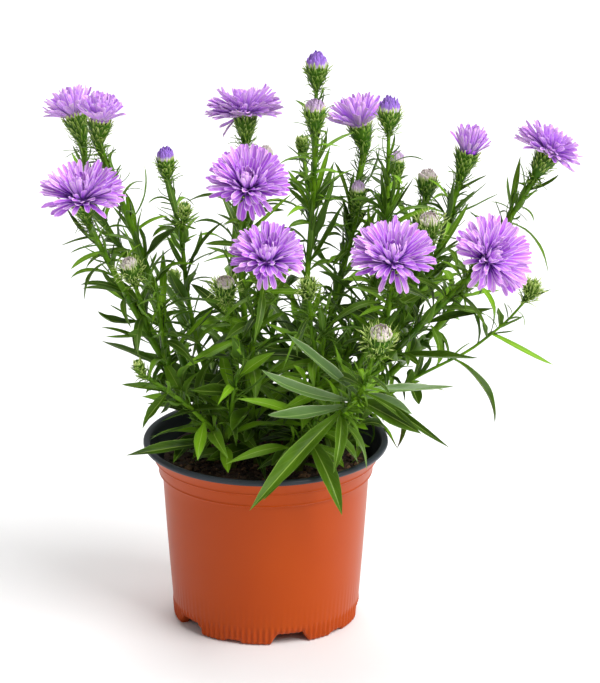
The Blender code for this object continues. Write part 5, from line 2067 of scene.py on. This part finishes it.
@dataclass
class NurseryPot:
    """The pot: notched foot, fluted lower wall, tapered wall, collar and rolled lip, in one shell.

    Sizes are in millimetres. A ring is (radius, height), and a ring of the foot is (radius, height, how much
    of a notch's lift it takes, how much of the flutes it shows).
    """

    finish: Material
    columns: int = 600
    flutes: int = 100
    flute_depth: float = 0.4
    notches: int = 5
    notch_at: float = -74.0
    notch_flat: float = 8.5
    notch_foot: float = 13.0
    notch_height: float = 5.2
    step_from: float = 29.0
    step_to: float = 41.0
    step_height: float = 1.2
    step_slope: float = 1.6
    height: float = 91.3
    floor: tuple[Pair, ...] = ((10.6, 0.0), (11.0, 0.3), (12.0, 6.6), (12.6, 6.8), (39.4, 6.8), (40.0, 6.6))
    foot: tuple = (
        (40.5, 0.5, 1, 0), (40.9, 0.05, 1, 0), (43.5, 0.0, 1, 0.3), (44.4, 0.3, 1, 0.6), (44.95, 0.95, 1, 1),
        (45.14, 1.8, 1, 1), (45.5, 7.1, 0, 1), (45.65, 8.6, 0, 0.5),
    )
    wall: tuple[Pair, ...] = (
        (45.8, 10.0), (47.05, 25.0), (48.2, 40.0), (49.35, 56.0), (50.2, 69.0), (50.45, 73.7), (50.6, 74.3),
        (50.9, 74.65), (51.5, 74.85), (52.3, 75.2), (52.45, 75.6), (52.2, 76.15), (52.3, 76.7), (53.9, 81.9),
        (54.5, 82.15), (54.75, 82.5), (54.6, 83.05), (54.8, 83.7), (57.15, 88.3), (57.3, 88.5),
    )
    lining: tuple[Pair, ...] = (
        (57.35, 88.52), (59.0, 88.7), (59.65, 89.0), (59.95, 89.6), (59.9, 90.3), (59.6, 90.9), (59.0, 91.25),
        (58.2, 91.3), (57.2, 91.1), (56.5, 90.5), (56.0, 88.6), (53.0, 82.2), (49.3, 74.8), (43.8, 8.4),
        (43.4, 8.0),
    )
    inner_floor: float = 8.0

    def lift_at(self, angle: float) -> float:
        """Find how far the foot is cut back at a place.

        Args:
            angle: The place round the pot, in degrees.

        Returns:
            The height of the foot's edge there, in millimetres: a notch, a shallow step or nothing.
        """
        sector = 360 / self.notches
        past = (angle - self.notch_at) % sector
        notch = (self.notch_foot - min(past, sector - past)) / (self.notch_foot - self.notch_flat)
        step = min(past - self.step_from, self.step_to - past) / self.step_slope
        return max(self.notch_height * min(1.0, max(0.0, notch)), self.step_height * min(1.0, max(0.0, step)))

    def build(self) -> Object:
        """Make the pot as one piece.

        Returns:
            The piece.
        """
        surface = Surface()
        middle = surface.ring([place((0, 0, 0))], [(0.0, 0.0, 0.0, 0.0)])
        outside = [(*ring, 0, 0) for ring in self.floor] + [*self.foot] + [(*ring, 0, 0) for ring in self.wall]
        profile = [(*ring, 0.0) for ring in outside] + [(*ring, 0, 0, 1.0) for ring in self.lining]
        rings = []
        for radius, height, notch, flute, dark in profile:
            points, marks = [], []
            for k in range(self.columns):
                degrees = 360 * k / self.columns
                angle = math.radians(degrees)
                r = radius + flute * self.flute_depth * math.cos(self.flutes * angle)
                z = height + notch * self.lift_at(degrees)
                points.append(place((r * math.cos(angle), r * math.sin(angle), z)))
                marks.append((k / self.columns, height / self.height, 0.0, dark))
            rings.append(surface.ring(points, marks))
        surface.join([list(reversed(rings[0])), middle])
        surface.join(rings + [surface.ring([place((0, 0, self.inner_floor))], [(0.0, 0.0, 0.0, 1.0)])])
        surface.dress(0)
        return surface.piece("pot_shell", [self.finish], 40)


@dataclass
class PottingSoil:
    """The soil: a closed body with an uneven top, and crumbs and chips of bark lying on it.

    Sizes are in millimetres. The top's waves are (fineness, place in the noise, height), and a crumb's levels
    are (height, breadth) as shares of its size.
    """

    finish: Material
    top: float = 82.0
    edge: float = 50.6
    floor: float = 8.4
    floor_radius: float = 42.9
    wall_radius: float = 48.6
    wall_top: float = 74.8
    rings: int = 56
    columns: int = 180
    crumbs: int = 900
    crumb_sides: int = 6
    waves: tuple[Point, ...] = ((0.05, 0, 1.8), (0.22, 7, 1.1), (0.7, 3, 0.6))
    crumb_levels: tuple[Pair, ...] = ((-1.0, 0.5), (-0.3, 1.0), (0.4, 0.9), (1.0, 0.4))

    def __post_init__(self) -> None:
        """Start with nothing made and with the crumbs' own chance."""
        self.surface = Surface()
        self.draw = random.Random(3)

    def height_at(self, x: float, y: float) -> float:
        """The height of the top at a place."""
        return self.top + sum(noise.noise(Vector((x, y, z)) * fine) * high for fine, z, high in self.waves)

    def build(self) -> Object:
        """Make the soil as one piece.

        Returns:
            The piece.
        """
        body = ((self.floor_radius, self.floor), (self.wall_radius, self.wall_top), (self.edge - 0.6, self.top - 1.2))
        rings = [self.level(radius, height) for radius, height in body]
        for step in range(self.rings):
            rings.append(self.level((self.edge - 1.0) * (1 - step / self.rings)))
        rings.append(self.surface.ring([place((0, 0, self.height_at(0, 0)))], [(0.0, 0.0, 0.0, 0.0)]))
        self.surface.close(rings)
        for _ in range(self.crumbs):
            self.add_crumb()
        self.surface.dress(0)
        return self.surface.piece("soil_crumbs", [self.finish], 50)

    def level(self, radius: float, height: float | None = None) -> list[int]:
        """Add one ring of the body.

        Args:
            radius: Its radius.
            height: Its height, or nothing where it follows the uneven top.

        Returns:
            The numbers of its points.
        """
        points = []
        for k in range(self.columns):
            angle = FULL_TURN * k / self.columns
            x, y = radius * math.cos(angle), radius * math.sin(angle)
            points.append(place((x, y, self.height_at(x, y) if height is None else height)))
        return self.surface.ring(points, [(0.0, 0.0, 0.0, 0.0)] * self.columns)

    def add_crumb(self) -> None:
        """Add one crumb or chip, partly sunk in the top."""
        draw = self.draw
        radius, angle = (self.edge - 3.0) * math.sqrt(draw.random()), draw.uniform(0, FULL_TURN)
        x, y = radius * math.cos(angle), radius * math.sin(angle)
        size = draw.uniform(0.5, 1.5) * (1.6 if draw.random() < 0.08 else 1.0)
        stretch = Vector((draw.uniform(0.7, 2.0), draw.uniform(0.6, 1.2), draw.uniform(0.4, 0.8))) * size
        turn = Matrix.Rotation(draw.uniform(0, 6.3), 3, "Z") @ Matrix.Rotation(draw.uniform(-0.5, 0.5), 3, "X")
        centre = Vector((x, y, self.height_at(x, y) + 0.2 * size))
        tint = draw.uniform(0.0, 0.35) if draw.random() < 0.75 else draw.uniform(0.5, 1.0)
        levels = []
        for height, breadth in self.crumb_levels:
            points = []
            for k in range(self.crumb_sides):
                turned = FULL_TURN * k / self.crumb_sides
                wide = breadth * draw.uniform(0.75, 1.1)
                spot = Vector((math.cos(turned) * wide, math.sin(turned) * wide, height))
                points.append(place(centre + turn @ Vector([a * b for a, b in zip(spot, stretch)])))
            levels.append(self.surface.ring(points, [(0.0, 0.0, tint, 0.0)] * self.crumb_sides))
        self.surface.close(levels)


@dataclass
class Studio:
    """The camera, the floor and the lights.

    The target and distance are in millimetres, the lamps in metres: each one's name, place, aim, side
    and power.
    """

    target: Point = (16.8, 0.0, 141.4)
    distance: float = 3000.0
    pitch: float = 20.05
    lens: float = 324.95
    sensor: float = 36.0
    floor_size: float = 8.0
    floor_drop: float = 0.1 * MM
    sky: float = 0.29
    lamps: tuple[tuple[str, Point, Point, float, float], ...] = (
        ("key", (1.75, -1.15, 2.35), (0.0, 0.0, 0.12), 2.3, 114.0),
        ("fill", (-1.4, -1.0, 0.9), (0.0, 0.0, 0.12), 1.2, 2.0),
        ("top", (0.0, 1.1, 2.1), (0.0, 0.4, 0.0), 1.4, 34.0),
    )

    @staticmethod
    def stand(name: str, data: bpy.types.ID) -> Object:
        """Put a camera, light or mesh into the scene.

        Args:
            name: The object's name.
            data: What it shows.

        Returns:
            The object.
        """
        thing = bpy.data.objects.new(name, data)
        bpy.context.scene.collection.objects.link(thing)
        return thing

    def add_camera(self) -> None:
        """Add the camera where the photographer stood."""
        data = bpy.data.cameras.new("camera")
        data.sensor_fit = "VERTICAL"
        data.sensor_height = self.sensor
        data.lens = self.lens
        data.clip_end = 50.0
        camera = self.stand("camera", data)
        pitch = math.radians(self.pitch)
        ahead = Vector((0.0, math.cos(pitch), -math.sin(pitch)))
        camera.location = place(self.target) - ahead * self.distance * MM
        camera.rotation_euler = (math.pi / 2 - pitch, 0.0, 0.0)
        bpy.context.scene.camera = camera

    def add_floor(self) -> None:
        """Add the plain white floor."""
        half = self.floor_size / 2
        mesh = bpy.data.meshes.new("floor")
        mesh.from_pydata([(-half, -half, 0), (half, -half, 0), (half, half, 0), (-half, half, 0)], [], [(0, 1, 2, 3)])
        mesh.materials.append(FloorFinish().build())
        floor = self.stand("floor", mesh)
        floor.location.z = -self.floor_drop
        floor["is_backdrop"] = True

    def add_lights(self) -> None:
        """Add the soft lights and the even white light all round."""
        for name, spot, aim, size, power in self.lamps:
            data = bpy.data.lights.new(name, "AREA")
            data.size = size
            data.energy = power
            lamp = self.stand(name, data)
            lamp.location = spot
            lamp.rotation_euler = (Vector(aim) - Vector(spot)).to_track_quat("-Z", "Y").to_euler()
        world = bpy.data.worlds.new("studio")
        world.use_nodes = True
        background = world.node_tree.nodes["Background"]
        background.inputs[0].default_value = (1.0, 1.0, 1.0, 1.0)
        background.inputs[1].default_value = self.sky
        bpy.context.scene.world = world

    def build(self) -> None:
        """Set up the whole studio."""
        self.add_camera()
        self.add_floor()
        self.add_lights()
        bpy.context.scene.view_settings.view_transform = "Standard"


def settle(piece: Object, node: str) -> None:
    """Put a piece in the frame in place of its node, and report it.

    Args:
        piece: The finished piece.
        node: The node that it stands for.
    """
    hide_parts(node)
    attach(piece, "root")
    triangles = sum(len(p.vertices) - 2 for p in piece.data.polygons)
    log.info("%s stands for %s with %d triangles", piece.name, node, triangles)


def main() -> None:
    """Build the studio, the pot, the soil, the shoots and the flower heads."""
    logging.basicConfig(level=logging.INFO, format="%(message)s")
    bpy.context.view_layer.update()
    Studio().build()
    settle(NurseryPot(PotFinish().build()).build(), "pot")
    settle(PottingSoil(SoilFinish().build()).build(), "soil")
    growth = Growth()
    growth.grow()
    log.info("leaves of the solids: %d", sum(len(v) for v in growth.leaves.values()))
    thicket = Thicket(growth)
    thicket.fill()
    log.info("leaves added between them: %d", thicket.added)
    greens = [finish.build() for finish in (LeafFinish(), StemFinish(), BractFinish(), SATIN_LEAF)]
    petals = [OPEN_PETALS, FAN_PETALS, VIOLET_PETALS, MAUVE_PETALS, PALE_PETALS]
    coats = {finish: finish.build() for finish in petals}
    for node, twigs in SHOOTS.items():
        shoot = Shoot(node, twigs, growth.leaves[node], growth.bracts[node], greens)
        settle(shoot.build(), node)
        for head in (twig.head for twig in twigs):
            if head and head.node:
                seat = place(next(twig for twig in twigs if twig.head is head).route[-1])
                settle(Bloom(head, seat, coats[petals_of(head)]).build(), head.node)


if __name__ == "__main__":
    main()
